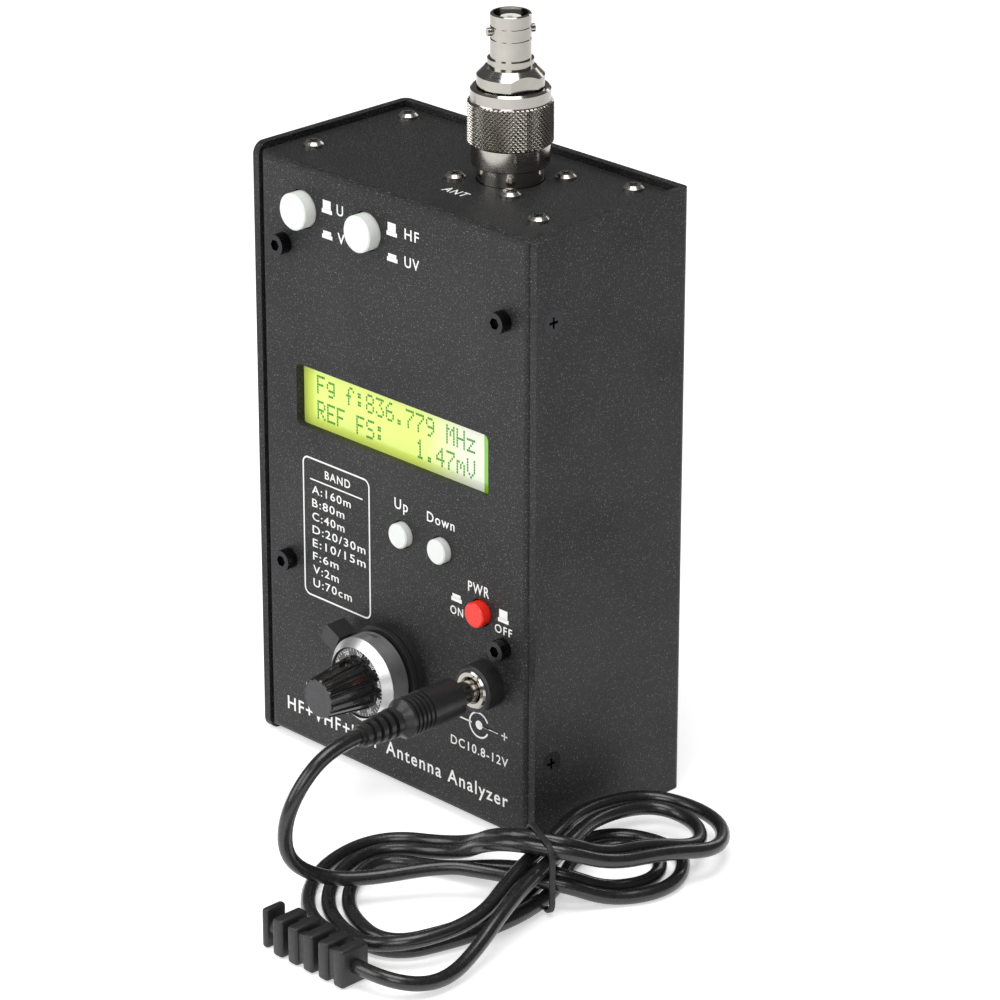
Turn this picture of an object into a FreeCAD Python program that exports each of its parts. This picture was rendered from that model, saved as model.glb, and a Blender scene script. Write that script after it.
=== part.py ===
import FreeCAD, Part
import math, os, re
import Sketcher
from FreeCAD import Rotation, Vector

doc = FreeCAD.newDocument("antenna_analyzer")

# Driving dimensions, in millimetres unless the note says otherwise.
# Heights are above the cover's lower edge. "Reach" is how far a piece stands out of the
# front panel's face.
SIZES = [
    ("case_width", 95.0, "outside width of the cover"),
    ("case_depth", 50.0, "front face to the cover's back"),
    ("case_height", 153.5, "height of the cover"),
    ("cover_wall", 2.0, "sheet of the U-shaped cover"),
    ("cover_bend", 2.0, "outer radius of the cover's back bends"),
    ("cover_corner", 3.0, "rounding of the side panels' front corners"),
    ("chassis_wall", 2.0, "sheet of the folded chassis"),
    ("chassis_bend", 1.8, "outer radius of the chassis bends"),
    ("rim", 1.5, "how far the cover stands past the chassis, top and bottom"),
    ("side_gap", 0.3, "chassis to the cover's side wall"),
    ("back_gap", 0.3, "chassis to the cover's back wall"),
    ("flange_reach", 11.0, "depth of the chassis side flanges"),
    ("cover_screw_inset", 5.5, "cover screws behind the front face"),
    ("cover_screw_drop", 21.7, "upper cover screws below the cover's top"),
    ("cover_screw_low", 21.4, "height of the lower cover screws"),
    ("thread_radius", 1.5, "M3 thread, outside"),
    ("thread_slack", 0.05, "M3 shank to its tapped hole, radial"),
    ("screw_slack", 0.2, "M3 shank to a plain hole, radial"),
    ("sunk_head_radius", 3.0, "countersunk head"),
    ("sunk_head_height", 1.6, "countersunk head, deep"),
    ("cover_screw_length", 6.0, "countersunk screw, overall"),
    ("recess_half", 1.4, "cross recess, half its width"),
    ("recess_slot", 0.3, "cross recess, half a slot's width"),
    ("recess_depth", 0.9, "cross recess, deep"),
    ("cap_screw_inset", 10.5, "cap screws from the cover's sides"),
    ("cap_screw_drop", 22.5, "upper cap screws below the cover's top"),
    ("cap_screw_low", 49.5, "height of the lower cap screws"),
    ("cap_head_radius", 2.6, "socket head cap screw's head"),
    ("cap_head_height", 3.0, "socket head cap screw's head, high"),
    ("cap_screw_length", 8.0, "cap screw's shank"),
    ("hex_key_radius", 1.45, "hexagon socket, corner radius"),
    ("hex_key_depth", 1.6, "hexagon socket, deep"),
    ("standoff_radius", 3.0, "board standoffs, corner radius"),
    ("window_width", 65.5, "display window"),
    ("window_height", 15.6, "display window"),
    ("window_middle", -0.75, "display window's middle, across"),
    ("window_level", 93.6, "display window's middle, height"),
    ("window_round", 1.5, "display window's corner radius"),
    ("bezel_width", 71.4, "display module's metal frame"),
    ("bezel_height", 26.6, "display module's metal frame"),
    ("bezel_skin", 0.5, "display frame's sheet"),
    ("bezel_gap", 0.4, "display frame behind the panel"),
    ("glass_thick", 2.2, "display glass"),
    ("backlight_thick", 4.0, "display light guide"),
    ("lcd_board_gap", 3.2, "display board to the chassis side flanges"),
    ("lcd_board_height", 36.0, "display module's board"),
    ("lcd_screw_inset", 2.5, "display board's holes from its edges"),
    ("lcd_spacer_radius", 2.2, "spacers between the display and main boards"),
    ("board_thick", 1.6, "every circuit board"),
    ("header_height", 3.8, "display board to main board"),
    ("header_width", 40.6, "display pin strip"),
    ("header_thick", 2.5, "display pin strip"),
    ("header_inset", 8.0, "display pin strip from the display board's left edge"),
    ("header_drop", 1.7, "display pin strip from the display board's upper edge"),
    ("main_board_gap", 1.2, "main board to the chassis side flanges"),
    ("main_board_low", 44.6, "main board's lower edge"),
    ("main_board_drop", 0.5, "main board's upper edge below the rails"),
    ("chip_thick", 1.8, "flat chips on the main board"),
    ("controller_side", 14.0, "controller chip, square"),
    ("controller_across", -23.0, "controller chip"),
    ("controller_rise", 28.4, "controller chip's middle above the main board's lower edge"),
    ("counter_chip_width", 12.0, "frequency counter chip"),
    ("counter_chip_height", 8.0, "frequency counter chip"),
    ("counter_chip_across", -2.0, "frequency counter chip"),
    ("counter_chip_rise", 21.4, "frequency counter chip's middle above the board's lower edge"),
    ("regulator_width", 10.0, "regulator"),
    ("regulator_height", 8.0, "regulator"),
    ("regulator_thick", 4.5, "regulator"),
    ("regulator_across", -27.0, "regulator"),
    ("regulator_rise", 11.4, "regulator's middle above the board's lower edge"),
    ("capacitor_radius", 4.0, "supply capacitors"),
    ("capacitor_length", 9.0, "supply capacitors, off the board"),
    ("capacitor_inset", 8.0, "supply capacitors from the board's right edge"),
    ("capacitor_rise", 25.4, "lower capacitor above the board's lower edge"),
    ("capacitor_step", 12.0, "between the two capacitors"),
    ("coil_radius", 3.2, "range coils"),
    ("coil_hole", 1.6, "range coils, inside radius"),
    ("coil_thick", 3.4, "range coils, off the board"),
    ("coil_across", 12.0, "range coils"),
    ("coil_rise", 9.4, "lowest coil above the board's lower edge"),
    ("coil_step", 8.0, "between the range coils"),
    ("range_coils", 3, "range coils, a count"),
    ("can_sheet", 0.4, "sheet of both shield cans"),
    ("can_width", 52.0, "oscillator's shield can"),
    ("can_height", 36.0, "oscillator's shield can"),
    ("can_depth", 6.0, "oscillator's shield can, off the board"),
    ("can_rise", 61.4, "shield can's middle above the board's lower edge"),
    ("white_button_radius", 4.5, "band buttons"),
    ("small_button_radius", 3.1, "power, up and down buttons"),
    ("button_slack", 0.35, "button to its hole, radial"),
    ("button_skirt", 0.9, "skirt that keeps a button in, radial"),
    ("skirt_thick", 1.0, "skirt along the button"),
    ("skirt_gap", 0.3, "skirt behind the panel"),
    ("button_edge", 0.3, "chamfer round a button's face"),
    ("band_button_drop", 12.5, "band buttons below the cover's top"),
    ("first_band_button_inset", 17.1, "first band button from the cover's left side"),
    ("second_band_button", -8.3, "second band button, across"),
    ("band_button_reach", 3.3, "band buttons"),
    ("power_button_inset", 18.0, "power button from the cover's right side"),
    ("power_button_level", 56.2, "power button"),
    ("power_button_reach", 2.5, "power button"),
    ("step_button_level", 68.0, "up and down buttons"),
    ("up_button_across", 3.1, "up button"),
    ("down_button_across", 16.2, "down button"),
    ("step_button_reach", 1.9, "up and down buttons"),
    ("latch_travel", 2.2, "full push of a latching button"),
    ("step_travel", 0.5, "full push of the up and down buttons"),
    ("switch_side", 8.5, "latching switch body, square"),
    ("switch_depth", 6.5, "latching switch body, off the board"),
    ("plunger_half", 1.6, "plunger, half its side"),
    ("plunger_slack", 0.3, "plunger to its guide, each side"),
    ("plunger_in_switch", 2.5, "plunger inside the switch body"),
    ("plunger_in_button", 2.6, "plunger inside the button's socket"),
    ("button_tail", 1.9, "latching button behind the skirt"),
    ("key_side", 6.0, "up and down switch body, square"),
    ("key_depth", 3.5, "up and down switch body, off the board"),
    ("stem_radius", 1.6, "stem of the up and down buttons"),
    ("stem_in_key", 0.6, "stem inside the key switch"),
    ("stem_slack", 0.3, "stem to the key switch, radial"),
    ("dial_across", -1.1, "dial axis, across"),
    ("dial_level", 31.6, "dial axis, height"),
    ("pot_radius", 11.0, "ten-turn potentiometer body"),
    ("pot_depth", 20.0, "ten-turn potentiometer body"),
    ("pot_bush_radius", 4.7, "potentiometer's threaded bush"),
    ("pot_bush_reach", 4.2, "bush in front of the panel"),
    ("pot_nut_radius", 7.0, "potentiometer nut, corner radius"),
    ("pot_nut_thick", 2.2, "potentiometer nut"),
    ("shaft_radius", 3.0, "potentiometer shaft"),
    ("shaft_slack", 0.1, "shaft to its bush, radial"),
    ("shaft_reach", 20.0, "shaft in front of the panel"),
    ("shaft_in_pot", 6.0, "shaft behind the panel's face"),
    ("dial_base_radius", 11.7, "dial base"),
    ("dial_base_reach", 4.7, "dial base"),
    ("dial_base_floor", 1.2, "dial base under the nut"),
    ("dial_base_wall", 2.2, "dial base's ring wall"),
    ("ring_radius", 10.8, "satin ring"),
    ("ring_reach", 11.6, "satin ring's inner lip"),
    ("ring_shoulder", 9.6, "where the ring's face starts to slope"),
    ("ring_bore", 8.9, "satin ring, inside"),
    ("ring_notch_half", 1.6, "reading notch at the ring's top, half its width"),
    ("ring_notch_depth", 0.9, "reading notch along the axis"),
    ("dial_slack", 0.3, "turning pieces inside the ring"),
    ("counter_reach", 7.8, "turn counter's front face"),
    ("counter_thick", 2.6, "turn counter"),
    ("counter_wall", 1.9, "turn counter, radial"),
    ("scale_reach", 11.0, "scale disc's face"),
    ("scale_thick", 2.4, "scale disc"),
    ("knob_reach", 24.0, "face of the tuning knob"),
    ("knob_back_radius", 6.75, "tuning knob at the scale"),
    ("knob_front_radius", 5.05, "tuning knob at its face"),
    ("knob_cap_radius", 4.5, "grey inlay in the knob's face"),
    ("knob_cap_thick", 1.2, "grey inlay in the knob's face"),
    ("knob_flutes", 16, "grip flutes round the knob, a count"),
    ("flute_radius", 0.75, "grip flute"),
    ("grub_radius", 1.5, "knob's grub screw"),
    ("grub_reach", 15.0, "knob's grub screw along the axis"),
    ("lever_radius", 17.2, "brake lever's outer end"),
    ("lever_half", 2.4, "brake lever, half its width"),
    ("lever_back", 2.2, "brake lever's tab, back face"),
    ("lever_front", 8.0, "brake lever's tab, front face"),
    ("lever_plate_back", 2.4, "brake lever's plate, back face"),
    ("lever_plate_front", 3.6, "brake lever's plate, front face"),
    ("lever_angle", 154.0, "brake lever at rest, degrees from across"),
    ("brake_throw", 22.0, "brake lever's swing, degrees"),
    ("jack_inset", 15.9, "supply jack from the cover's right side"),
    ("jack_level", 38.7, "supply jack"),
    ("collar_radius", 5.8, "supply jack's black collar"),
    ("collar_reach", 5.1, "supply jack's black collar"),
    ("socket_radius", 4.75, "supply jack's plated socket"),
    ("socket_reach", 5.5, "supply jack's plated socket"),
    ("socket_bore", 3.0, "supply jack's mouth, radius"),
    ("socket_depth", 9.0, "supply jack behind the panel's face"),
    ("jack_pin_radius", 1.05, "supply jack's centre pin"),
    ("jack_nut_radius", 7.6, "supply jack's nut, corner radius"),
    ("jack_nut_thick", 2.2, "supply jack's nut"),
    ("plug_radius", 2.75, "5.5 mm plug barrel"),
    ("plug_wall", 0.35, "plug barrel's sheet"),
    ("plug_bore", 1.25, "plug's centre hole, radius"),
    ("plug_inserted", 6.6, "plug barrel inside the jack"),
    ("grip_reach", 10.7, "front face of the plug's grip"),
    ("grip_radius", 4.85, "plug's grip"),
    ("grip_smooth", 10.3, "smooth length of the grip"),
    ("grip_ridges", 5, "fine ridges on the grip, a count"),
    ("grip_ridge_step", 1.3, "pitch of the fine ridges"),
    ("grip_groove", 0.45, "depth of the grip's grooves"),
    ("grip_neck", 2.6, "length of the grip's shoulder and neck"),
    ("relief_radius", 3.7, "strain relief at its thick end"),
    ("relief_end_radius", 2.9, "strain relief at its thin end"),
    ("relief_rings", 5, "rings of the strain relief, a count"),
    ("relief_step", 2.25, "pitch of the strain relief's rings"),
    ("relief_core", 2.3, "strain relief between its rings"),
    ("top_screw_left_inset", 8.7, "left top screws from the cover's side"),
    ("top_screw_right_inset", 10.9, "right top screws from the cover's side"),
    ("top_screw_front", 11.5, "front pair behind the front face"),
    ("top_screw_back", 7.6, "back pair in front of the cover's back"),
    ("pan_head_radius", 2.5, "pan head"),
    ("pan_head_height", 1.3, "pan head"),
    ("top_screw_length", 7.0, "top screw's shank"),
    ("rail_half", 3.0, "mounting rail, half its side"),
    ("rail_start", 6.0, "rails' front ends behind the front face"),
    ("rail_back_gap", 1.5, "rails' back ends to the cover's back wall"),
    ("rf_board_start", 19.0, "antenna board's front edge behind the front face"),
    ("rf_screw_front", 4.0, "antenna board's front screws from its front edge"),
    ("rf_screw_back", 10.0, "antenna board's back screws from its back edge"),
    ("rf_can_width", 54.0, "antenna board's shield can"),
    ("rf_can_front_inset", 3.5, "shield can from the antenna board's front edge"),
    ("rf_can_back_inset", 2.0, "shield can from the antenna board's back edge"),
    ("rf_can_depth", 9.0, "antenna board's shield can, below the board"),
    ("rf_can_across", 3.0, "antenna board's shield can"),
    ("board_screw_length", 5.0, "board screw's shank"),
    ("antenna_across", 10.9, "antenna connector's axis"),
    ("antenna_behind", 28.0, "antenna connector's axis behind the front face"),
    ("flange_half", 12.7, "antenna jack's square flange, half its side"),
    ("flange_thick", 2.0, "antenna jack's flange"),
    ("flange_screw_half", 9.1, "flange screws from the axis, each way"),
    ("flange_screw_length", 7.5, "flange screw's shank"),
    ("flange_nut_radius", 3.1, "flange nut, corner radius"),
    ("flange_nut_thick", 2.2, "flange nut"),
    ("jack_thread_radius", 7.9, "antenna jack's thread"),
    ("jack_mouth_radius", 4.6, "antenna jack's bore"),
    ("jack_mouth_height", 10.6, "antenna jack above the top panel"),
    ("jack_bore_depth", 9.2, "antenna jack's bore below its mouth"),
    ("jack_tail_radius", 4.6, "antenna jack below its flange"),
    ("jack_tail", 3.6, "antenna jack below its flange"),
    ("contact_radius", 0.8, "antenna jack's centre contact"),
    ("contact_wall", 0.6, "socket end of the jack's contact, radial"),
    ("contact_depth", 5.4, "jack's contact below the jack's mouth"),
    ("contact_tail", 1.0, "jack's contact below the antenna board"),
    ("insulator_wall", 1.6, "jack's insulator, radial"),
    ("insulator_rise", 1.0, "jack's insulator above its bore's floor"),
    ("nut_low", 3.9, "coupling nut's lower edge above the top panel"),
    ("nut_knurl_low", 9.3, "knurl's lower edge above the top panel"),
    ("nut_knurl_top", 19.3, "knurl's upper edge above the top panel"),
    ("nut_top", 22.6, "coupling nut's upper edge above the top panel"),
    ("nut_low_radius", 9.25, "coupling nut below the knurl"),
    ("nut_knurl_radius", 10.15, "coupling nut at the knurl"),
    ("nut_top_radius", 9.4, "coupling nut above the knurl"),
    ("nut_slack", 0.3, "coupling nut to what it turns on"),
    ("adapter_skirt_radius", 4.3, "adapter's inner sleeve, in the jack"),
    ("adapter_skirt_depth", 6.0, "adapter's inner sleeve below its seat"),
    ("adapter_seat_radius", 7.6, "adapter's seat on the jack"),
    ("adapter_seat_thick", 2.2, "adapter's seat on the jack"),
    ("adapter_neck_radius", 6.4, "adapter inside the coupling nut"),
    ("shoulder_radius", 7.95, "adapter's shoulder"),
    ("shoulder_low", 22.9, "shoulder's lower edge above the top panel"),
    ("shoulder_edge", 25.4, "where the shoulder's chamfer starts"),
    ("shoulder_top", 27.3, "shoulder's upper edge"),
    ("shoulder_top_radius", 6.1, "shoulder at its upper edge"),
    ("shoulder_flat", 7.1, "wrench flats from the axis"),
    ("flat_angle", -17.0, "wrench flats, degrees from across"),
    ("collar_bead_radius", 5.45, "bead under the bayonet barrel"),
    ("collar_bead_low", 28.2, "bead's lower edge"),
    ("collar_bead_top", 29.3, "bead's upper edge"),
    ("barrel_radius", 4.8, "bayonet barrel"),
    ("barrel_bore", 4.1, "bayonet barrel's bore"),
    ("barrel_bore_depth", 8.6, "bayonet barrel's bore below its mouth"),
    ("barrel_groove", 0.25, "depth of the barrel's two grooves"),
    ("barrel_top", 40.0, "bayonet barrel's mouth above the top panel"),
    ("first_groove", 2.7, "upper groove below the mouth"),
    ("second_groove", 5.6, "lower groove below the mouth"),
    ("groove_width", 0.5, "each groove"),
    ("lug_radius", 1.0, "bayonet lugs"),
    ("lug_reach", 5.75, "bayonet lugs from the axis"),
    ("lug_drop", 4.2, "bayonet lugs below the mouth"),
    ("lug_angle", 64.0, "bayonet lugs, degrees from across"),
    ("core_radius", 2.4, "white insulator in the bayonet barrel"),
    ("core_drop", 1.0, "insulator below the barrel's mouth"),
    ("pin_radius", 0.7, "adapter's centre pin"),
    ("pin_drop", 6.4, "adapter's pin below its seat"),
    ("pin_shoulder", 0.6, "adapter's insulator above its seat"),
    ("sleeve_wall", 0.7, "adapter's inner sleeve, radial"),
    ("cord_radius", 1.75, "supply cord"),
    ("tie_side", 18.5, "hank's tie from the cover's right side"),
    ("tie_reach", 16.6, "hank's tie in front of the panel"),
    ("tie_turn", 65.0, "degrees from across to the way through the tie"),
    ("tie_half", 7.5, "inside of the tie, half its width"),
    ("tie_thick", 0.8, "rubber of the tie"),
    ("tie_band", 1.4, "tie, along the hank"),
    ("tie_corner", 3.0, "inside corners of the tie"),
    ("tie_slack", 0.12, "tie to the strands, above and below them"),
    ("waist_step", 4.18, "one row of strands to the next at the waist"),
    ("waist_lane", 4.6, "one strand to the next in a row at the waist"),
    ("right_lane", 5.34, "one strand to the next in the right loops"),
    ("left_near_lane", 4.6, "one strand to the next in the left loops, near side"),
    ("left_tip_lane", 4.71, "one strand to the next at the left loops' tips"),
    ("left_far_lane", 4.94, "one strand to the next in the left loops, far side"),
    ("relief_side", 17.5, "cord's last relief, its end face from the cover's right side"),
    ("relief_place", 73.6, "cord's last relief, in front of the panel"),
    ("relief_level", 4.95, "cord's last relief, height of its axis"),
    ("relief_body", 2.3, "cord's last relief, radius of its core"),
    ("rib_half", 4.15, "relief's ribs, half their width"),
    ("rib_half_height", 4.7, "relief's ribs, half their height"),
    ("rib_thick", 3.3, "relief's ribs"),
    ("rib_step", 5.0, "one rib to the next"),
    ("rib_count", 5, "number of ribs"),
    ("stop_step", 5.5, "last rib's middle to the end plate's middle"),
    ("stop_thick", 2.0, "end plate"),
    ("stop_half", 3.0, "end plate, half its width"),
    ("stop_half_height", 4.95, "end plate, half its height"),
]

sheet = doc.addObject("Spreadsheet::Sheet", "Sizes")
for row, (alias, number, note) in enumerate(SIZES, 1):
    sheet.set("A%d" % row, note)
    sheet.set("B%d" % row, str(number))
    sheet.setAlias("B%d" % row, alias)
doc.recompute()

ALIASES = {alias for alias, number, note in SIZES}
made = []


def cells(text):
    """The text of a size, with each driving dimension pointed at its cell."""
    return re.sub(r"[a-z_]+", lambda word: "Sizes." + word[0] if word[0] in ALIASES else word[0],
                  str(text))


def bind(thing, **texts):
    for name, text in texts.items():
        thing.setExpression(name, cells(text))
    return thing


TURNS = {
    "z": Rotation(),
    "-z": Rotation(Vector(1, 0, 0), 180),
    "y": Rotation(Vector(1, 0, 0), -90),
    "-y": Rotation(Vector(1, 0, 0), 90),
    "x": Rotation(Vector(0, 1, 0), 90),
    "-x": Rotation(Vector(0, 1, 0), -90),
}


def place(thing, axis, across, behind, level):
    """Turn a thing's own Z to the named axis and bind where its origin goes."""
    thing.Placement = FreeCAD.Placement(Vector(), TURNS[axis])
    for name, text in zip("xyz", (across, behind, level)):
        thing.setExpression("Placement.Base." + name, cells(text))
    return thing


def box(left, right, front, back, low, top):
    block = doc.addObject("Part::Box", "block")
    bind(block, Length="(%s) - (%s)" % (right, left), Width="(%s) - (%s)" % (back, front),
         Height="(%s) - (%s)" % (top, low))
    return place(block, "z", left, front, low)


def rod(axis, across, behind, level, radius, length):
    cylinder = doc.addObject("Part::Cylinder", "rod")
    bind(cylinder, Radius=radius, Height=length)
    return place(cylinder, axis, across, behind, level)


def cone(axis, across, behind, level, first_radius, last_radius, length):
    frustum = doc.addObject("Part::Cone", "cone")
    bind(frustum, Radius1=first_radius, Radius2=last_radius, Height=length)
    return place(frustum, axis, across, behind, level)


def hexagon(axis, across, behind, level, radius, length):
    prism = doc.addObject("Part::Prism", "hexagon")
    bind(prism, Circumradius=radius, Height=length)
    return place(prism, axis, across, behind, level)


def fuse(*things):
    joined = doc.addObject("Part::MultiFuse", "joined")
    joined.Shapes = list(things)
    return joined


def cut(base, *tools):
    left_over = doc.addObject("Part::Cut", "cut")
    left_over.Base = base
    left_over.Tool = tools[0] if len(tools) == 1 else fuse(*tools)
    return left_over


def group(*things):
    together = doc.addObject("Part::Compound", "group")
    together.Links = list(things)
    return together


def piece(label, thing):
    """Name a finished sub-part."""
    thing.Label = label
    made.append(thing)
    return thing


def round_edges(thing, radius, wanted):
    """Round the edges that the test picks, by the line each runs along and where it is."""
    doc.recompute()
    chosen = []
    for number, edge in enumerate(thing.Shape.Edges, 1):
        if isinstance(edge.Curve, Part.Line) and wanted(edge.tangentAt(edge.FirstParameter),
                                                        edge.CenterOfMass):
            chosen.append((number, radius, radius))
    rounded = doc.addObject("Part::Fillet", "rounded")
    rounded.Base = thing
    rounded.Edges = chosen
    return rounded


def turned(axis, across, behind, level, outline):
    """A lathe-turned piece: the closed outline of (radius, height) texts, spun full circle."""
    body = doc.addObject("PartDesign::Body", "turned")
    sketch = body.newObject("Sketcher::SketchObject", "outline")
    plane = [thing for thing in body.Origin.OriginFeatures if thing.Role == "XZ_Plane"][0]
    sketch.AttachmentSupport = [(plane, "")]
    sketch.MapMode = "FlatFace"
    count = len(outline)
    corners = [Vector(5 + 4 * math.cos(2 * math.pi * k / count), 5 + 4 * math.sin(2 * math.pi * k / count), 0)
               for k in range(count)]
    sketch.addGeometry([Part.LineSegment(corners[k], corners[(k + 1) % count]) for k in range(count)])
    rules = [Sketcher.Constraint("Coincident", k, 2, (k + 1) % count, 1) for k in range(count)]
    bound = []
    for k, (radius, height) in enumerate(outline):
        for kind, text, here in (("DistanceX", radius, corners[k].x), ("DistanceY", height, corners[k].y)):
            bound.append((len(rules), text))
            rules.append(Sketcher.Constraint(kind, -1, 1, k, 1, here))
    sketch.addConstraint(rules)
    for number, text in bound:
        sketch.setExpression("Constraints[%d]" % number, cells(text))
    spin = body.newObject("PartDesign::Revolution", "spin")
    spin.Profile = sketch
    spin.ReferenceAxis = (sketch, ["V_Axis"])
    spin.Angle = 360
    body.Tip = spin
    return place(body, axis, across, behind, level)


def cross_recess(axis, across, behind, level):
    """The cross cut into a screw head whose face is at the given place."""
    reach = {"x": across, "y": behind, "z": level}
    blades = []
    for long_side in "xyz":
        if long_side == axis[-1]:
            continue
        sides = {}
        for side in "xyz":
            half = "recess_half" if side == long_side else "recess_slot"
            sides[side] = ("%s - %s" % (reach[side], half), "%s + %s" % (reach[side], half))
        into = axis[-1]
        if axis[0] == "-":
            sides[into] = ("%s - recess_depth" % reach[into], "%s + recess_depth" % reach[into])
        else:
            sides[into] = ("%s - recess_depth" % reach[into], "%s + recess_depth" % reach[into])
        blades.append(box(*sides["x"], *sides["y"], *sides["z"]))
    return fuse(*blades)


# Places that many pieces share. The front face is set so that the analyzer's middle, from the
# knob's face to the cover's back, is over the origin.
FACE = "((knob_reach - case_depth) / 2)"
PANEL_BACK = FACE + " + chassis_wall"
COVER_BACK = FACE + " + case_depth"
TOP_FACE = "case_height - rim"
TOP_UNDER = "case_height - rim - chassis_wall"
FLOOR = "rim + chassis_wall"
CHASSIS_HALF = "(case_width / 2 - cover_wall - side_gap)"
BOARD_HALF = "(case_width / 2 - cover_wall - side_gap - chassis_wall - main_board_gap)"
LCD_HALF = "(case_width / 2 - cover_wall - side_gap - chassis_wall - lcd_board_gap)"
BEZEL_FRONT = PANEL_BACK + " + bezel_gap"
GLASS_FRONT = BEZEL_FRONT + " + bezel_skin"
GLASS_BACK = GLASS_FRONT + " + glass_thick"
LCD_BOARD = GLASS_BACK + " + backlight_thick"
LCD_BOARD_BACK = LCD_BOARD + " + board_thick"
MAIN_BOARD = LCD_BOARD_BACK + " + header_height"
MAIN_BOARD_BACK = MAIN_BOARD + " + board_thick"
RAIL_UNDER = TOP_UNDER + " - 2 * rail_half"
JACK_ACROSS = "(case_width / 2 - jack_inset)"
TAPPED = "thread_radius + thread_slack"
PLAIN_HOLE = "thread_radius + screw_slack"
SIDES = ("-", "+")

COVER_SCREWS = [(axis, side + "case_width / 2", FACE + " + cover_screw_inset", level)
                for axis, side in (("x", "-"), ("-x", ""))
                for level in ("cover_screw_low", "(case_height - cover_screw_drop)")]
CAP_SCREWS = [(side + "(case_width / 2 - cap_screw_inset)", level) for side in SIDES
              for level in ("cap_screw_low", "(case_height - cap_screw_drop)")]
RAILS = ("(top_screw_left_inset - case_width / 2)", "(case_width / 2 - top_screw_right_inset)")
RAIL_END = COVER_BACK + " - cover_wall - rail_back_gap"
TOP_SCREWS = [(across, behind) for across in RAILS
              for behind in (FACE + " + top_screw_front", COVER_BACK + " - top_screw_back")]
LCD_SCREWS = [("window_middle %s (%s - lcd_screw_inset)" % (side, LCD_HALF),
               "window_level %s (lcd_board_height / 2 - lcd_screw_inset)" % way)
               for side in SIDES for way in SIDES]
FLANGE_SCREWS = [("antenna_across %s flange_screw_half" % side,
                  "%s + antenna_behind %s flange_screw_half" % (FACE, way))
                 for side in SIDES for way in SIDES]
BAND_LEVEL = "(case_height - band_button_drop)"
BUTTONS = {
    "u_v": ("(first_band_button_inset - case_width / 2)", BAND_LEVEL,
            "white_button_radius", "band_button_reach"),
    "hf_uv": ("second_band_button", BAND_LEVEL, "white_button_radius", "band_button_reach"),
    "power": ("(case_width / 2 - power_button_inset)", "power_button_level", "small_button_radius",
              "power_button_reach"),
    "up": ("up_button_across", "step_button_level", "small_button_radius", "step_button_reach"),
    "down": ("down_button_across", "step_button_level", "small_button_radius", "step_button_reach"),
}


# Front chassis: one folded sheet, with the front, top and bottom panels and two short side flanges.
def front_chassis():
    outer = box("-" + CHASSIS_HALF, CHASSIS_HALF, FACE, COVER_BACK + " - cover_wall - back_gap",
                "rim", TOP_FACE)
    bent = round_edges(outer, sheet.chassis_bend,
                       lambda way, at: at.y < outer.Shape.BoundBox.YMin + 0.1)
    room = box("-%s + chassis_wall" % CHASSIS_HALF, CHASSIS_HALF + " - chassis_wall", PANEL_BACK,
               COVER_BACK, FLOOR, TOP_UNDER)
    open_sides = box("-%s - chassis_wall" % CHASSIS_HALF, CHASSIS_HALF + " + chassis_wall",
                     FACE + " + flange_reach", COVER_BACK, FLOOR, TOP_UNDER)
    through = "2 * chassis_wall"
    before = FACE + " - chassis_wall / 2"
    window = round_edges(
        box("window_middle - window_width / 2", "window_middle + window_width / 2", before,
            before + " + " + through, "window_level - window_height / 2", "window_level + window_height / 2"),
        sheet.window_round, lambda way, at: abs(way.y) > 0.9)
    holes = [room, open_sides, window]
    for across, level, radius, reach in BUTTONS.values():
        holes.append(rod("y", across, before, level, radius + " + button_slack", through))
    for across, level in CAP_SCREWS:
        holes.append(rod("y", across, before, level, PLAIN_HOLE, through))
    holes.append(rod("y", "dial_across", before, "dial_level", "pot_bush_radius + screw_slack", through))
    holes.append(rod("y", JACK_ACROSS, before, "jack_level", "socket_radius + screw_slack", through))
    above = TOP_FACE + " + chassis_wall / 2"
    holes.append(rod("-z", "antenna_across", FACE + " + antenna_behind", above,
                     "jack_thread_radius + screw_slack", through))
    for across, behind in TOP_SCREWS + FLANGE_SCREWS:
        holes.append(rod("-z", across, behind, above, PLAIN_HOLE, through))
    for axis, across, behind, level in COVER_SCREWS:
        holes.append(rod(axis, across, behind, level, TAPPED, "case_width / 3"))
    return cut(bent, *holes)


# Rear cover: one sheet folded into the back and both sides, with a rim past the chassis.
def rear_cover():
    outer = box("-case_width / 2", "case_width / 2", FACE, COVER_BACK, "0", "case_height")
    back_bends = round_edges(outer, sheet.cover_bend,
                             lambda way, at: abs(way.z) > 0.9 and at.y > outer.Shape.BoundBox.YMax - 0.1)
    corners = round_edges(back_bends, sheet.cover_corner,
                          lambda way, at: abs(way.x) > 0.9 and at.y < outer.Shape.BoundBox.YMin + 0.1)
    room = box("-case_width / 2 + cover_wall", "case_width / 2 - cover_wall", FACE + " - cover_wall",
               COVER_BACK + " - cover_wall", "-cover_wall", "case_height + cover_wall")
    holes = [room]
    for axis, *spot in COVER_SCREWS:
        holes.append(rod(axis, *spot, PLAIN_HOLE, "2 * cover_wall"))
        holes.append(cone(axis, *spot, "sunk_head_radius + thread_slack", PLAIN_HOLE, "sunk_head_height"))
    return cut(corners, *holes)


# Cover screws: four black countersunk cross-recess screws into the chassis flanges.
def cover_screws():
    screws = []
    for axis, *spot in COVER_SCREWS:
        solid = fuse(cone(axis, *spot, "sunk_head_radius", "thread_radius", "sunk_head_height"),
                     rod(axis, *spot, "thread_radius", "cover_screw_length"))
        screws.append(cut(solid, cross_recess(axis, *spot)))
    return group(*screws)


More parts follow.
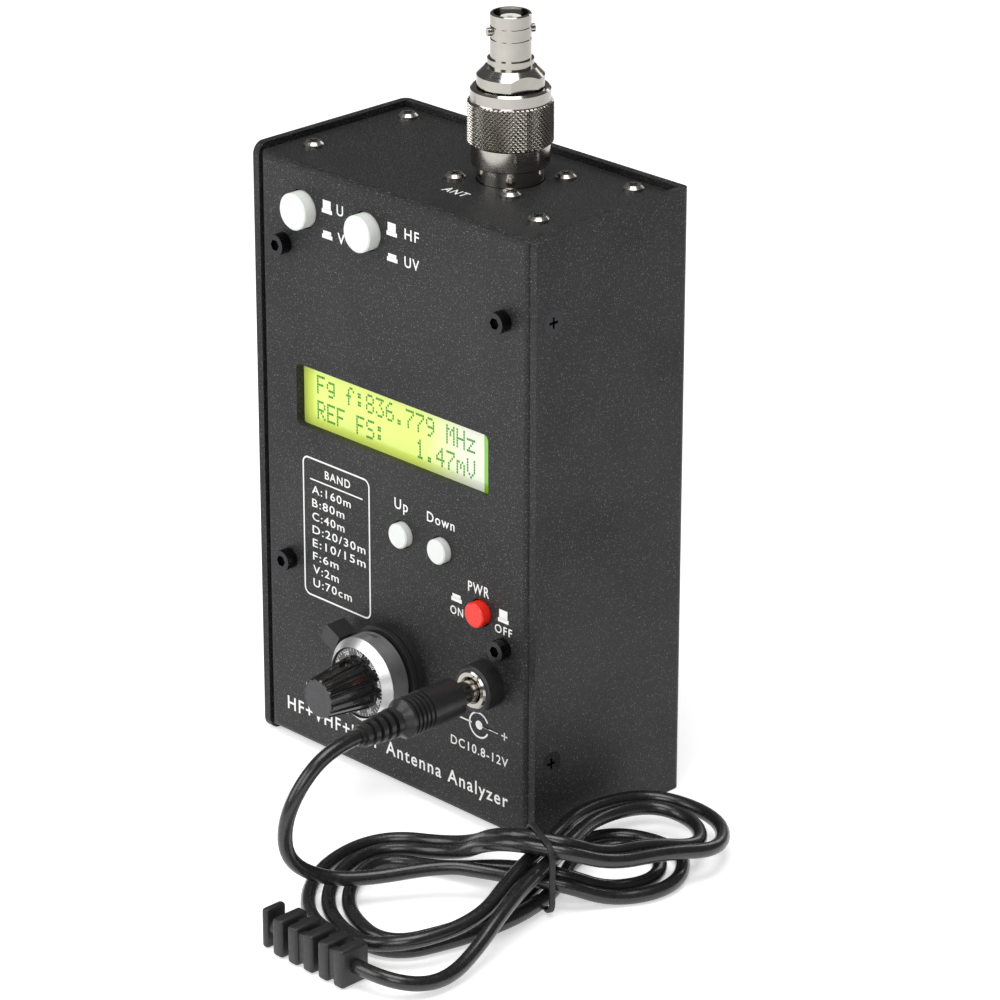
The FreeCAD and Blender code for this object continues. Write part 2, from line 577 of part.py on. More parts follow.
# Panel cap screws: four black socket head screws that carry the boards from the front panel.
def panel_cap_screws():
    screws = []
    for across, level in CAP_SCREWS:
        head = FACE + " - cap_head_height"
        solid = fuse(rod("y", across, head, level, "cap_head_radius", "cap_head_height"),
                     rod("y", across, FACE, level, "thread_radius", "cap_screw_length"))
        screws.append(cut(solid, hexagon("y", across, head, level, "hex_key_radius", "hex_key_depth")))
    return group(*screws)


# Standoffs: four hexagon pillars from the front panel to the main board, and four short round
# spacers from the display board to the main board.
def board_standoffs():
    pillars = []
    length = "(%s) - (%s)" % (MAIN_BOARD, PANEL_BACK)
    for across, level in CAP_SCREWS:
        pillars.append(cut(hexagon("y", across, PANEL_BACK, level, "standoff_radius", length),
                           rod("y", across, PANEL_BACK, level, TAPPED, length)))
    for across, level in LCD_SCREWS:
        spot = (across, LCD_BOARD_BACK, level)
        pillars.append(cut(rod("y", *spot, "lcd_spacer_radius", "header_height"),
                           rod("y", *spot, "thread_radius - screw_slack", "header_height")))
    return group(*pillars)


# A pan head screw whose head sits on a surface. Its axis names the way the shank goes.
def pan_screw(axis, across, behind, level, length):
    sign = -1 if axis[0] == "-" else 1
    lift = {"x": across, "y": behind, "z": level}
    lift[axis[-1]] = "%s %s pan_head_height" % (lift[axis[-1]], "-" if sign > 0 else "+")
    face = (lift["x"], lift["y"], lift["z"])
    solid = fuse(cone(axis, *face, "pan_head_radius * 0.72", "pan_head_radius", "pan_head_height / 2"),
                 rod(axis, *shift(axis, face, "pan_head_height / 2"),
                    "pan_head_radius", "pan_head_height / 2"),
                 rod(axis, across, behind, level, "thread_radius", length))
    return cut(solid, cross_recess(axis, *face))


def shift(axis, spot, amount):
    """The spot moved along a signed axis by the text's amount."""
    moved = dict(zip("xyz", spot))
    sign = "-" if axis[0] == "-" else "+"
    moved[axis[-1]] = "%s %s %s" % (moved[axis[-1]], sign, amount)
    return moved["x"], moved["y"], moved["z"]


# Board screws: four into the main board's pillars, four that hang the antenna board on the rails.
RF_BOARD_UNDER = RAIL_UNDER + " - board_thick"
RF_START = FACE + " + rf_board_start"
RF_SCREWS = [(across, behind) for across in RAILS
             for behind in (RF_START + " + rf_screw_front", RAIL_END + " - rf_screw_back")]


def board_screws():
    screws = [pan_screw("-y", across, MAIN_BOARD_BACK, level, "board_screw_length")
              for across, level in CAP_SCREWS]
    screws += [pan_screw("z", across, behind, RF_BOARD_UNDER, "board_screw_length")
               for across, behind in RF_SCREWS]
    return group(*screws)


# Main board, behind the display, with the holes of its pillars.
def main_board():
    board = box("-" + BOARD_HALF, BOARD_HALF, MAIN_BOARD, MAIN_BOARD_BACK, "main_board_low",
                RAIL_UNDER + " - main_board_drop")
    return cut(board, *[rod("y", across, MAIN_BOARD, level, PLAIN_HOLE, "board_thick")
                        for across, level in CAP_SCREWS])


# Board components: the controller, regulator, range coils and capacitors on the main board's back.
def board_components():
    def chip(across, rise, width, height, thick):
        middle = "main_board_low + %s" % rise
        return box("%s - %s / 2" % (across, width), "%s + %s / 2" % (across, width), MAIN_BOARD_BACK,
                   "%s + %s" % (MAIN_BOARD_BACK, thick), "%s - %s / 2" % (middle, height),
                   "%s + %s / 2" % (middle, height))

    parts = [
        chip("controller_across", "controller_rise", "controller_side", "controller_side", "chip_thick"),
        chip("counter_chip_across", "counter_chip_rise", "counter_chip_width", "counter_chip_height",
             "chip_thick"),
        chip("regulator_across", "regulator_rise", "regulator_width", "regulator_height", "regulator_thick")]
    for number in range(2):
        level = "main_board_low + capacitor_rise + %d * capacitor_step" % number
        parts.append(rod("y", BOARD_HALF + " - capacitor_inset", MAIN_BOARD_BACK, level, "capacitor_radius",
                         "capacitor_length"))
    for number in range(int(sheet.range_coils)):
        spot = ("coil_across", MAIN_BOARD_BACK, "main_board_low + coil_rise + %d * coil_step" % number)
        parts.append(cut(rod("y", *spot, "coil_radius", "coil_thick"),
                         rod("y", *spot, "coil_hole", "coil_thick")))
    return group(*parts)


# Shield can over the oscillator on the main board's back.
def shield_can():
    middle = "main_board_low + can_rise"
    can = box("0 - can_width / 2", "can_width / 2", MAIN_BOARD_BACK, MAIN_BOARD_BACK + " + can_depth",
              middle + " - can_height / 2", middle + " + can_height / 2")
    room = box("can_sheet - can_width / 2", "can_width / 2 - can_sheet", MAIN_BOARD_BACK,
               MAIN_BOARD_BACK + " + can_depth - can_sheet", middle + " - can_height / 2 + can_sheet",
               middle + " + can_height / 2 - can_sheet")
    return cut(can, room)


# Display module: board, light guide, glass, metal frame, pin strip.
def lcd_board():
    board = box("window_middle - " + LCD_HALF, "window_middle + " + LCD_HALF, LCD_BOARD, LCD_BOARD_BACK,
                "window_level - lcd_board_height / 2", "window_level + lcd_board_height / 2")
    return cut(board, *[rod("y", across, LCD_BOARD, level, "thread_radius - screw_slack", "board_thick")
                        for across, level in LCD_SCREWS])


def lcd_slab(front, back, inset):
    return box("window_middle - bezel_width / 2 + %s" % inset, "window_middle + bezel_width / 2 - %s" % inset,
               front, back, "window_level - bezel_height / 2 + %s" % inset,
               "window_level + bezel_height / 2 - %s" % inset)


def lcd_bezel():
    opening = box("window_middle - window_width / 2 - bezel_skin",
                  "window_middle + window_width / 2 + bezel_skin",
                  BEZEL_FRONT + " - bezel_skin", GLASS_FRONT + " + bezel_skin",
                  "window_level - window_height / 2 - bezel_skin",
                  "window_level + window_height / 2 + bezel_skin")
    return cut(lcd_slab(BEZEL_FRONT, LCD_BOARD, "0"), lcd_slab(GLASS_FRONT, LCD_BOARD, "bezel_skin"), opening)


def lcd_header():
    start = "window_middle - %s + header_inset" % LCD_HALF
    top = "window_level + lcd_board_height / 2 - header_drop"
    return box(start, start + " + header_width", LCD_BOARD_BACK, MAIN_BOARD, top + " - header_thick", top)


# Switches: three latching push switches, and two small key switches, all on the main board.
SWITCH_FRONT = MAIN_BOARD + " - switch_depth"
KEY_FRONT = MAIN_BOARD + " - key_depth"


def latching_switches():
    bodies = []
    for name in ("u_v", "hf_uv", "power"):
        across, level = BUTTONS[name][:2]
        body = box("%s - switch_side / 2" % across, "%s + switch_side / 2" % across, SWITCH_FRONT, MAIN_BOARD,
                   "%s - switch_side / 2" % level, "%s + switch_side / 2" % level)
        reach = "plunger_half + plunger_slack"
        hole = box("%s - %s" % (across, "(%s)" % reach), "%s + %s" % (across, reach), SWITCH_FRONT,
                   SWITCH_FRONT + " + plunger_in_switch + latch_travel + plunger_slack",
                   "%s - %s" % (level, "(%s)" % reach), "%s + %s" % (level, reach))
        bodies.append(cut(body, hole))
    return group(*bodies)


def tact_switches():
    bodies = []
    for name in ("up", "down"):
        across, level = BUTTONS[name][:2]
        body = box("%s - key_side / 2" % across, "%s + key_side / 2" % across, KEY_FRONT, MAIN_BOARD,
                   "%s - key_side / 2" % level, "%s + key_side / 2" % level)
        bodies.append(cut(body, rod("y", across, KEY_FRONT, level, "stem_radius + stem_slack",
                                    "stem_in_key + step_travel + stem_slack")))
    return group(*bodies)


# Plungers: the square sliding stems of the latching switches. Each ends inside its button.
SKIRT_BACK = PANEL_BACK + " + skirt_gap + skirt_thick"


def plunger(name):
    across, level = BUTTONS[name][:2]
    return box("%s - plunger_half" % across, "%s + plunger_half" % across,
               SKIRT_BACK + " + button_tail - plunger_in_button", SWITCH_FRONT + " + plunger_in_switch",
               "%s - plunger_half" % level, "%s + plunger_half" % level)


# Button caps: a round face, a skirt behind the panel, and a socket for the plunger or a long stem.
def button_outline(radius, reach, tail, stem):
    skirt = "%s + button_skirt" % radius
    front = "chassis_wall + %s" % reach
    outline = [("0", front), ("%s - button_edge" % radius, front), (radius, front + " - button_edge"),
               (radius, "0 - skirt_gap"), (skirt, "0 - skirt_gap"), (skirt, "0 - skirt_gap - skirt_thick")]
    if stem:
        outline += [("stem_radius", "0 - skirt_gap - skirt_thick"), ("stem_radius", tail), ("0", tail)]
    else:
        outline += [(radius, "0 - skirt_gap - skirt_thick"), (radius, tail), ("0", tail)]
    return outline


def button_cap(name):
    across, level, radius, reach = BUTTONS[name]
    if name in ("up", "down"):
        tail = "0 - ((%s) - (%s)) - stem_in_key" % (KEY_FRONT, PANEL_BACK)
        return turned("-y", across, PANEL_BACK, level, button_outline(radius, reach, tail, True))
    tail = "0 - skirt_gap - skirt_thick - button_tail"
    cap = turned("-y", across, PANEL_BACK, level, button_outline(radius, reach, tail, False))
    fit = "plunger_half + thread_slack"
    socket = box("%s - (%s)" % (across, fit), "%s + %s" % (across, fit),
                 SKIRT_BACK + " + button_tail - plunger_in_button",
                  SKIRT_BACK + " + button_tail + skirt_thick",
                 "%s - (%s)" % (level, fit), "%s + %s" % (level, fit))
    return cut(cap, socket)


# Mounting rails: two square bars under the top panel. The top screws hold them, and they carry the
# antenna board.
def mounting_rails():
    rails = []
    for middle in RAILS:
        bar = box("%s - rail_half" % middle, "%s + rail_half" % middle, FACE + " + rail_start",
                  RAIL_END, RAIL_UNDER, TOP_UNDER)
        holes = [rod("-z", across, behind, TOP_UNDER, TAPPED, "2 * rail_half")
                 for across, behind in TOP_SCREWS + RF_SCREWS if across == middle]
        rails.append(cut(bar, *holes))
    return group(*rails)


def top_screws():
    return group(*[pan_screw("-z", across, behind, TOP_FACE, "top_screw_length")
                   for across, behind in TOP_SCREWS])


# Antenna board: lies under the rails, below the antenna jack, whose contact is soldered through it.
def rf_board():
    board = box("-" + BOARD_HALF, BOARD_HALF, RF_START, RAIL_END, RF_BOARD_UNDER, RAIL_UNDER)
    holes = [rod("-z", across, behind, RAIL_UNDER, PLAIN_HOLE, "board_thick") for across, behind in RF_SCREWS]
    holes.append(rod("-z", "antenna_across", FACE + " + antenna_behind", RAIL_UNDER,
                     "contact_radius + thread_slack", "board_thick"))
    return cut(board, *holes)


def rf_shield_can():
    def block(sheet_in):
        return box("rf_can_across - rf_can_width / 2 + %s" % sheet_in,
                   "rf_can_across + rf_can_width / 2 - %s" % sheet_in,
                   RF_START + " + rf_can_front_inset + %s" % sheet_in,
                   RAIL_END + " - rf_can_back_inset - %s" % sheet_in,
                   RF_BOARD_UNDER + " - rf_can_depth + %s" % sheet_in, RF_BOARD_UNDER)

    return cut(block("0"), block("can_sheet"))


# Antenna jack: a square-flange panel jack under the top panel, with its thread standing through it.
JACK_SPOT = ("antenna_across", FACE + " + antenna_behind")
JACK_FLOOR = "jack_mouth_height - jack_bore_depth"


def antenna_jack():
    thread = turned("z", *JACK_SPOT, TOP_FACE, [
        ("contact_radius + insulator_wall", "0 - chassis_wall - flange_thick - jack_tail"),
        ("jack_tail_radius", "0 - chassis_wall - flange_thick - jack_tail"),
        ("jack_tail_radius", "0 - chassis_wall - flange_thick / 2"),
        ("jack_thread_radius", "0 - chassis_wall - flange_thick / 2"),
        ("jack_thread_radius", "jack_mouth_height - 0.5"),
        ("jack_thread_radius - 0.5", "jack_mouth_height"),
        ("jack_mouth_radius", "jack_mouth_height"),
        ("jack_mouth_radius", JACK_FLOOR),
        ("contact_radius + insulator_wall", JACK_FLOOR)])
    plate = box("antenna_across - flange_half", "antenna_across + flange_half",
                FACE + " + antenna_behind - flange_half", FACE + " + antenna_behind + flange_half",
                TOP_UNDER + " - flange_thick", TOP_UNDER)
    holes = [rod("-z", across, behind, TOP_UNDER, PLAIN_HOLE, "flange_thick")
             for across, behind in FLANGE_SCREWS]
    holes.append(rod("-z", *JACK_SPOT, TOP_UNDER, "contact_radius + insulator_wall", "flange_thick"))
    return fuse(thread, cut(plate, *holes))


def jack_insulator():
    return turned("z", *JACK_SPOT, TOP_FACE, [
        ("contact_radius + thread_slack", "0 - chassis_wall - flange_thick - jack_tail"),
        ("contact_radius + insulator_wall - thread_slack", "0 - chassis_wall - flange_thick - jack_tail"),
        ("contact_radius + insulator_wall - thread_slack", JACK_FLOOR + " + insulator_rise"),
        ("contact_radius + thread_slack", JACK_FLOOR + " + insulator_rise")])


# Its contact: a tube for the adapter's pin, with a solid tail through the antenna board.
def jack_contact():
    tail = "(%s) - (%s) + board_thick" % (TOP_FACE, RAIL_UNDER)
    socket_top = "jack_mouth_height - contact_depth"
    return turned("z", *JACK_SPOT, TOP_FACE, [
        ("0", "0 - (%s) - contact_tail" % tail),
        ("contact_radius", "0 - (%s) - contact_tail" % tail),
        ("contact_radius", JACK_FLOOR + " + insulator_rise + screw_slack"),
        ("pin_radius + contact_wall", JACK_FLOOR + " + insulator_rise + screw_slack"),
        ("pin_radius + contact_wall", socket_top),
        ("pin_radius + shaft_slack", socket_top),
        ("pin_radius + shaft_slack", "jack_mouth_height - pin_drop - nut_slack"),
        ("0", "jack_mouth_height - pin_drop - nut_slack")])


def flange_screws():
    return group(*[pan_screw("-z", across, behind, TOP_FACE, "flange_screw_length")
                   for across, behind in FLANGE_SCREWS])


def flange_nuts():
    nuts = []
    for across, behind in FLANGE_SCREWS:
        seat = TOP_UNDER + " - flange_thick"
        nuts.append(cut(hexagon("-z", across, behind, seat, "flange_nut_radius", "flange_nut_thick"),
                        rod("-z", across, behind, seat, TAPPED, "flange_nut_thick")))
    return group(*nuts)


# Adapter: seats on the jack, with the coupling nut round it and a bayonet barrel above.
def adapter_body():
    seat = "jack_mouth_height"
    barrel = []
    for drop in ("second_groove", "first_groove"):
        low = "barrel_top - %s - groove_width" % drop
        high = "barrel_top - %s" % drop
        barrel += [("barrel_radius", low), ("barrel_radius - barrel_groove", low),
                   ("barrel_radius - barrel_groove", high), ("barrel_radius", high)]
    outline = [
        ("adapter_skirt_radius - sleeve_wall", seat + " - adapter_skirt_depth"),
        ("adapter_skirt_radius", seat + " - adapter_skirt_depth"),
        ("adapter_skirt_radius", seat),
        ("adapter_seat_radius", seat),
        ("adapter_seat_radius", seat + " + adapter_seat_thick"),
        ("adapter_neck_radius", seat + " + adapter_seat_thick"),
        ("adapter_neck_radius", "shoulder_low"),
        ("shoulder_radius", "shoulder_low"),
        ("shoulder_radius", "shoulder_edge"),
        ("shoulder_top_radius", "shoulder_top"),
        ("barrel_radius + 0.2", "shoulder_top"),
        ("barrel_radius + 0.2", "collar_bead_low"),
        ("collar_bead_radius", "collar_bead_low"),
        ("collar_bead_radius", "collar_bead_top"),
        ("barrel_radius", "collar_bead_top")] + barrel + [
        ("barrel_radius", "barrel_top - 0.2"),
        ("barrel_radius - 0.2", "barrel_top"),
        ("barrel_bore", "barrel_top"),
        ("barrel_bore", "barrel_top - barrel_bore_depth"),
        ("core_radius + thread_slack", "barrel_top - barrel_bore_depth"),
        ("core_radius + thread_slack", seat),
        ("adapter_skirt_radius - sleeve_wall", seat)]
    body = turned("z", *JACK_SPOT, TOP_FACE, outline)
    lug = rod("x", "0 - lug_reach", "0", "0", "lug_radius", "2 * lug_reach")
    lugs = turned_group(lug, "lug_angle", (*JACK_SPOT, "%s + barrel_top - lug_drop" % TOP_FACE))
    bore = rod("z", *JACK_SPOT, TOP_FACE + " + shoulder_top", "barrel_bore", "case_height")
    flats = []
    for side in ("shoulder_flat", "0 - shoulder_flat - shoulder_radius"):
        blank = box(side, side + " + shoulder_radius", "0 - shoulder_radius", "shoulder_radius",
                    "0", "shoulder_top - shoulder_low - 0.9")
        flats.append(turned_group(blank, "flat_angle", (*JACK_SPOT, "%s + shoulder_low" % TOP_FACE)))
    return cut(fuse(body, cut(lugs, bore)), *flats)


def turned_group(thing, angle, place):
    """A thing made round the origin, turned by an angle about the vertical and set in its place."""
    carrier = group(thing)
    carrier.Placement = FreeCAD.Placement(Vector(), Rotation(Vector(0, 0, 1), 1))
    carrier.setExpression("Placement.Rotation.Angle", cells(angle))
    for name, text in zip("xyz", place):
        carrier.setExpression("Placement.Base." + name, cells(text))
    return carrier


def adapter_insulator():
    return turned("z", *JACK_SPOT, TOP_FACE, [
        ("contact_radius + thread_slack", "jack_mouth_height + pin_shoulder"),
        ("core_radius", "jack_mouth_height + pin_shoulder"),
        ("core_radius", "barrel_top - core_drop"),
        ("contact_radius + thread_slack", "barrel_top - core_drop")])


def adapter_contact():
    return turned("z", *JACK_SPOT, TOP_FACE, [
        ("0", "jack_mouth_height - pin_drop"),
        ("pin_radius", "jack_mouth_height - pin_drop"),
        ("pin_radius", "jack_mouth_height + pin_shoulder"),
        ("contact_radius", "jack_mouth_height + pin_shoulder"),
        ("contact_radius", "barrel_top - core_drop - 0.3"),
        ("pin_radius - 0.2", "barrel_top - core_drop - 0.3"),
        ("pin_radius - 0.2", "barrel_top - core_drop - 5"),
        ("0", "barrel_top - core_drop - 5")])


# Coupling nut: turns on the adapter and screws down over the jack's thread.
def coupling_nut():
    shelf = "jack_mouth_height + adapter_seat_thick + nut_slack"
    return turned("z", *JACK_SPOT, TOP_FACE, [
        ("jack_thread_radius + nut_slack", "nut_low"),
        ("nut_low_radius - 0.3", "nut_low"),
        ("nut_low_radius", "nut_low + 0.3"),
        ("nut_low_radius", "nut_knurl_low"),
        ("nut_knurl_radius - 0.3", "nut_knurl_low"),
        ("nut_knurl_radius", "nut_knurl_low + 0.3"),
        ("nut_knurl_radius", "nut_knurl_top - 0.3"),
        ("nut_knurl_radius - 0.3", "nut_knurl_top"),
        ("nut_top_radius", "nut_knurl_top"),
        ("nut_top_radius", "nut_top - 0.3"),
        ("nut_top_radius - 0.3", "nut_top"),
        ("adapter_neck_radius + nut_slack", "nut_top"),
        ("adapter_neck_radius + nut_slack", shelf),
        ("jack_thread_radius + nut_slack", shelf)])


# Ten-turn potentiometer behind the panel, with its bush and nut through the dial's base.
DIAL_SPOT = ("dial_across", FACE, "dial_level")


def pot_body():
    return turned("-y", *DIAL_SPOT, [
        ("shaft_radius + shaft_slack", "0 - shaft_in_pot - shaft_slack"),
        ("0", "0 - shaft_in_pot - shaft_slack"),
        ("0", "0 - chassis_wall - pot_depth"),
        ("pot_radius", "0 - chassis_wall - pot_depth"),
        ("pot_radius", "0 - chassis_wall"),
        ("pot_bush_radius", "0 - chassis_wall"),
        ("pot_bush_radius", "pot_bush_reach"),
        ("shaft_radius + shaft_slack", "pot_bush_reach")])


def pot_nut():
    seat = FACE + " - dial_base_floor"
    return cut(hexagon("-y", "dial_across", seat, "dial_level", "pot_nut_radius", "pot_nut_thick"),
               rod("-y", "dial_across", seat, "dial_level",
                   "pot_bush_radius + thread_slack", "pot_nut_thick"))


def pot_shaft():
    return rod("-y", "dial_across", FACE + " + shaft_in_pot", "dial_level", "shaft_radius",
               "shaft_in_pot + shaft_reach")


# Dial: the base is clamped by the potentiometer's nut and carries the satin ring. The scale disc
# and the knob turn with the shaft, and the turn counter goes round once in ten turns of it.
def dial_base():
    wall = "dial_base_radius - dial_base_wall"
    neck = "lever_plate_back - dial_slack"
    return turned("-y", *DIAL_SPOT, [
        ("pot_bush_radius + screw_slack", "0"),
        ("dial_base_radius", "0"),
        ("dial_base_radius", neck),
        (wall, neck),
        (wall, "dial_base_reach"),
        (wall + " - 1.2", "dial_base_reach"),
        (wall + " - 1.2", "dial_base_floor"),
        ("pot_bush_radius + screw_slack", "dial_base_floor")])


def dial_ring():
    lip = "dial_base_radius - dial_base_wall - 1.2"
    ring = turned("-y", *DIAL_SPOT, [
        (lip, "dial_base_reach"),
        ("ring_radius", "dial_base_reach"),
        ("ring_radius", "ring_shoulder"),
        ("ring_bore", "ring_reach"),
        ("ring_bore", "counter_reach - counter_thick - dial_slack"),
        (lip, "counter_reach - counter_thick - dial_slack")])
    notch = box("dial_across - ring_notch_half", "dial_across + ring_notch_half",
                FACE + " - dial_base_reach - ring_notch_depth - 1", FACE + " - dial_base_reach - 1",
                "dial_level + ring_bore - dial_slack", "dial_level + ring_radius + ring_notch_half")
    return cut(ring, notch)


def turn_counter_ring():
    return turned("-y", *DIAL_SPOT, [
        ("ring_bore - dial_slack - counter_wall", "counter_reach - counter_thick"),
        ("ring_bore - dial_slack", "counter_reach - counter_thick"),
        ("ring_bore - dial_slack", "counter_reach"),
        ("ring_bore - dial_slack - counter_wall", "counter_reach")])


def scale_disc():
    return turned("-y", *DIAL_SPOT, [
        ("shaft_radius + thread_slack", "scale_reach - scale_thick"),
        ("ring_bore - dial_slack", "scale_reach - scale_thick"),
        ("ring_bore - dial_slack", "scale_reach"),
        ("shaft_radius + thread_slack", "scale_reach")])


# Tuning knob: a tapered fluted grip on the shaft, with a grey inlay in its face.
def tuning_knob():
    grip = turned("-y", *DIAL_SPOT, [
        ("shaft_radius + thread_slack", "scale_reach"),
        ("knob_back_radius", "scale_reach"),
        ("knob_front_radius", "knob_reach - 0.3"),
        ("knob_front_radius - 0.3", "knob_reach"),
        ("knob_cap_radius + thread_slack", "knob_reach"),
        ("knob_cap_radius + thread_slack", "knob_reach - knob_cap_thick"),
        ("0", "knob_reach - knob_cap_thick"),
        ("0", "shaft_reach + thread_slack"),
        ("shaft_radius + thread_slack", "shaft_reach + thread_slack")])
    doc.recompute()
    count = int(sheet.knob_flutes)
    length = sheet.knob_reach - sheet.scale_reach
    lean = math.degrees(math.atan2(sheet.knob_back_radius - sheet.knob_front_radius, length))
    flutes = []
    for number in range(count):
        groove = doc.addObject("Part::Cylinder", "flute")
        bind(groove, Radius="flute_radius", Height="3 * (knob_reach - scale_reach)")
        turn = Rotation(Vector(0, 1, 0), 360.0 * number / count)
        back = turn.multVec(Vector(sheet.knob_back_radius + 0.35 * sheet.flute_radius, 0, 0))
        tilt = turn.multiply(Rotation(Vector(0, 0, 1), -lean)).multiply(TURNS["-y"])
        middle = Vector(sheet.dial_across, (sheet.knob_reach - sheet.case_depth) / 2 - sheet.scale_reach,
                        sheet.dial_level)
        run_in = tilt.multVec(Vector(0, 0, -length))
        groove.Placement = FreeCAD.Placement(middle + back + run_in, tilt)
        flutes.append(groove)
    base_ring = turned("-y", *DIAL_SPOT, [
        ("knob_back_radius - 2", "scale_reach - 0.5"), ("knob_back_radius + 2", "scale_reach - 0.5"),
        ("knob_back_radius + 2", "scale_reach + 0.8"), ("knob_back_radius - 2", "scale_reach + 0.8")])
    grub = rod("z", "dial_across", FACE + " - grub_reach", "dial_level", "grub_radius + thread_slack",
               "knob_back_radius + 1")
    return cut(grip, cut(fuse(*flutes), base_ring), grub)


def knob_cap():
    return rod("y", "dial_across", FACE + " - knob_reach", "dial_level", "knob_cap_radius",
               "knob_cap_thick")


def knob_grub_screw():
    length = "knob_front_radius - shaft_radius - thread_slack"
    spot = ("dial_across", FACE + " - grub_reach", "dial_level + shaft_radius + thread_slack")
    return cut(rod("z", *spot, "grub_radius", length),
               hexagon("-z", *shift("z", spot, length), "grub_radius * 0.55", "grub_radius"))


# Brake lever: a thin ring round the base's neck with a square tab.
def brake_lever():
    inner = "dial_base_radius - dial_base_wall + dial_slack"
    plate = turned("-y", *DIAL_SPOT, [
        (inner, "lever_plate_back"), ("dial_base_radius", "lever_plate_back"),
        ("dial_base_radius", "lever_plate_front"), (inner, "lever_plate_front")])
    tab = box("dial_base_radius + dial_slack", "lever_radius", "0 - lever_front", "0 - lever_back",
              "0 - lever_half", "lever_half")
    link = box("dial_base_radius - 1", "lever_radius - 1", "0 - lever_plate_front", "0 - lever_plate_back",
               "0 - lever_half", "lever_half")
    arm = round_edges(fuse(tab, link), 0.5,
                      lambda way, at: abs(way.y) > 0.9 and at.x > sheet.lever_radius - 0.1)
    carrier = group(arm)
    carrier.Placement = FreeCAD.Placement(Vector(), Rotation(Vector(0, 1, 0), -1))
    carrier.Placement.Rotation.Axis = Vector(0, -1, 0)
    carrier.setExpression("Placement.Rotation.Angle", cells("lever_angle"))
    for name, text in zip("xyz", DIAL_SPOT):
        carrier.setExpression("Placement.Base." + name, cells(text))
    return fuse(plate, carrier)


# Supply jack: a plated socket in a black collar, held by a nut behind the panel.
SUPPLY_SPOT = (JACK_ACROSS, FACE, "jack_level")


def dc_jack_collar():
    return turned("-y", *SUPPLY_SPOT, [
        ("socket_radius + thread_slack", "0"), ("collar_radius", "0"),
        ("collar_radius", "collar_reach - 0.5"), ("collar_radius - 0.5", "collar_reach"),
        ("socket_radius + thread_slack", "collar_reach")])


def dc_jack_socket():
    return turned("-y", *SUPPLY_SPOT, [
        ("jack_pin_radius", "0 - socket_depth - 1.5"), ("socket_radius", "0 - socket_depth - 1.5"),
        ("socket_radius", "socket_reach - 0.4"), ("socket_radius - 0.4", "socket_reach"),
        ("socket_bore + 0.4", "socket_reach"), ("socket_bore", "socket_reach - 0.4"),
        ("socket_bore", "0 - socket_depth"), ("jack_pin_radius", "0 - socket_depth")])


def dc_jack_pin():
    return turned("-y", *SUPPLY_SPOT, [
        ("0", "0 - socket_depth - 4"), ("jack_pin_radius", "0 - socket_depth - 4"),
        ("jack_pin_radius", "socket_reach - 2.2"), ("jack_pin_radius * 0.5", "socket_reach - 1.6"),
        ("0", "socket_reach - 1.6")])


def dc_jack_nut():
    spot = (JACK_ACROSS, PANEL_BACK, "jack_level")
    return cut(hexagon("y", *spot, "jack_nut_radius", "jack_nut_thick"),
               rod("y", *spot, "socket_radius + thread_slack", "jack_nut_thick"))


# Plug: a plated barrel round an insulator, in a moulded grip with ridges and a ringed relief.
PLUG_TIP = "socket_reach - plug_inserted"


def plug_barrel():
    return turned("-y", *SUPPLY_SPOT, [
        ("plug_radius - plug_wall", PLUG_TIP), ("plug_radius - 0.15", PLUG_TIP),
        ("plug_radius", PLUG_TIP + " + 0.15"), ("plug_radius", "grip_reach"),
        ("plug_radius - plug_wall", "grip_reach")])


def plug_insulator():
    return turned("-y", *SUPPLY_SPOT, [
        ("plug_bore", PLUG_TIP), ("plug_radius - plug_wall - thread_slack / 2", PLUG_TIP),
        ("plug_radius - plug_wall - thread_slack / 2", "grip_reach"), ("plug_bore", "grip_reach")])


GRIP_END = "grip_reach + grip_smooth + grip_ridges * grip_ridge_step + grip_neck + relief_rings * relief_step"


def plug_grip():
    smooth_end = "grip_reach + grip_smooth"
    outline = [("0", "grip_reach"), ("grip_radius - 0.6", "grip_reach"),
               ("grip_radius - 0.1", "grip_reach + 0.5"),
               ("grip_radius", smooth_end)]
    for number in range(int(sheet.grip_ridges)):
        start = "%s + %d * grip_ridge_step" % (smooth_end, number)
        outline += [("grip_radius - grip_groove", start + " + 0.1"),
                    ("grip_radius - grip_groove", start + " + grip_ridge_step * 0.4"),
                    ("grip_radius", start + " + grip_ridge_step * 0.5"),
                    ("grip_radius", start + " + grip_ridge_step")]
    neck = "%s + grip_ridges * grip_ridge_step" % smooth_end
    outline += [("relief_core + 0.5", neck + " + grip_neck * 0.75"),
                ("relief_core + 0.5", neck + " + grip_neck")]
    rings = int(sheet.relief_rings)
    for number in range(rings):
        start = "%s + grip_neck + %d * relief_step" % (neck, number)
        radius = "relief_radius - (relief_radius - relief_end_radius) * %g" % (number / (rings - 1.0))
        outline += [(radius, start), (radius, start + " + relief_step * 0.6")]
        if number < rings - 1:
            outline += [("relief_core", start + " + relief_step * 0.6"),
                        ("relief_core", start + " + relief_step")]
    last = "%s + grip_neck + %d * relief_step" % (neck, rings - 1)
    outline += [("relief_core", last + " + relief_step * 0.6"), ("relief_core", last + " + relief_step"),
                ("0", last + " + relief_step")]
    return turned("-y", *SUPPLY_SPOT, outline)


# Supply cord. Its places are measured from the case's lower right front corner: across from the
# cover's side, reach in front of the panel, and height.
doc.recompute()
SIDE = sheet.case_width / 2
PANEL = (sheet.knob_reach - sheet.case_depth) / 2
RADIUS = sheet.cord_radius


def cord_place(across, reach, level):
    return Vector(SIDE + across, PANEL - reach, level)


# An arc that leaves start towards corner and comes into end from it. It keeps its radius.
def bend(start, corner, end, radii):
    half = (corner - start).getAngle(end - corner) / 2
    if half < 1e-5:
        return Part.LineSegment(start, end).toShape()
    radii.append((corner - start).Length / math.tan(half))
    weight = math.cos(half)
    return Part.Arc(start, (start + end + corner * (2 * weight)) / (2 + 2 * weight), end).toShape()


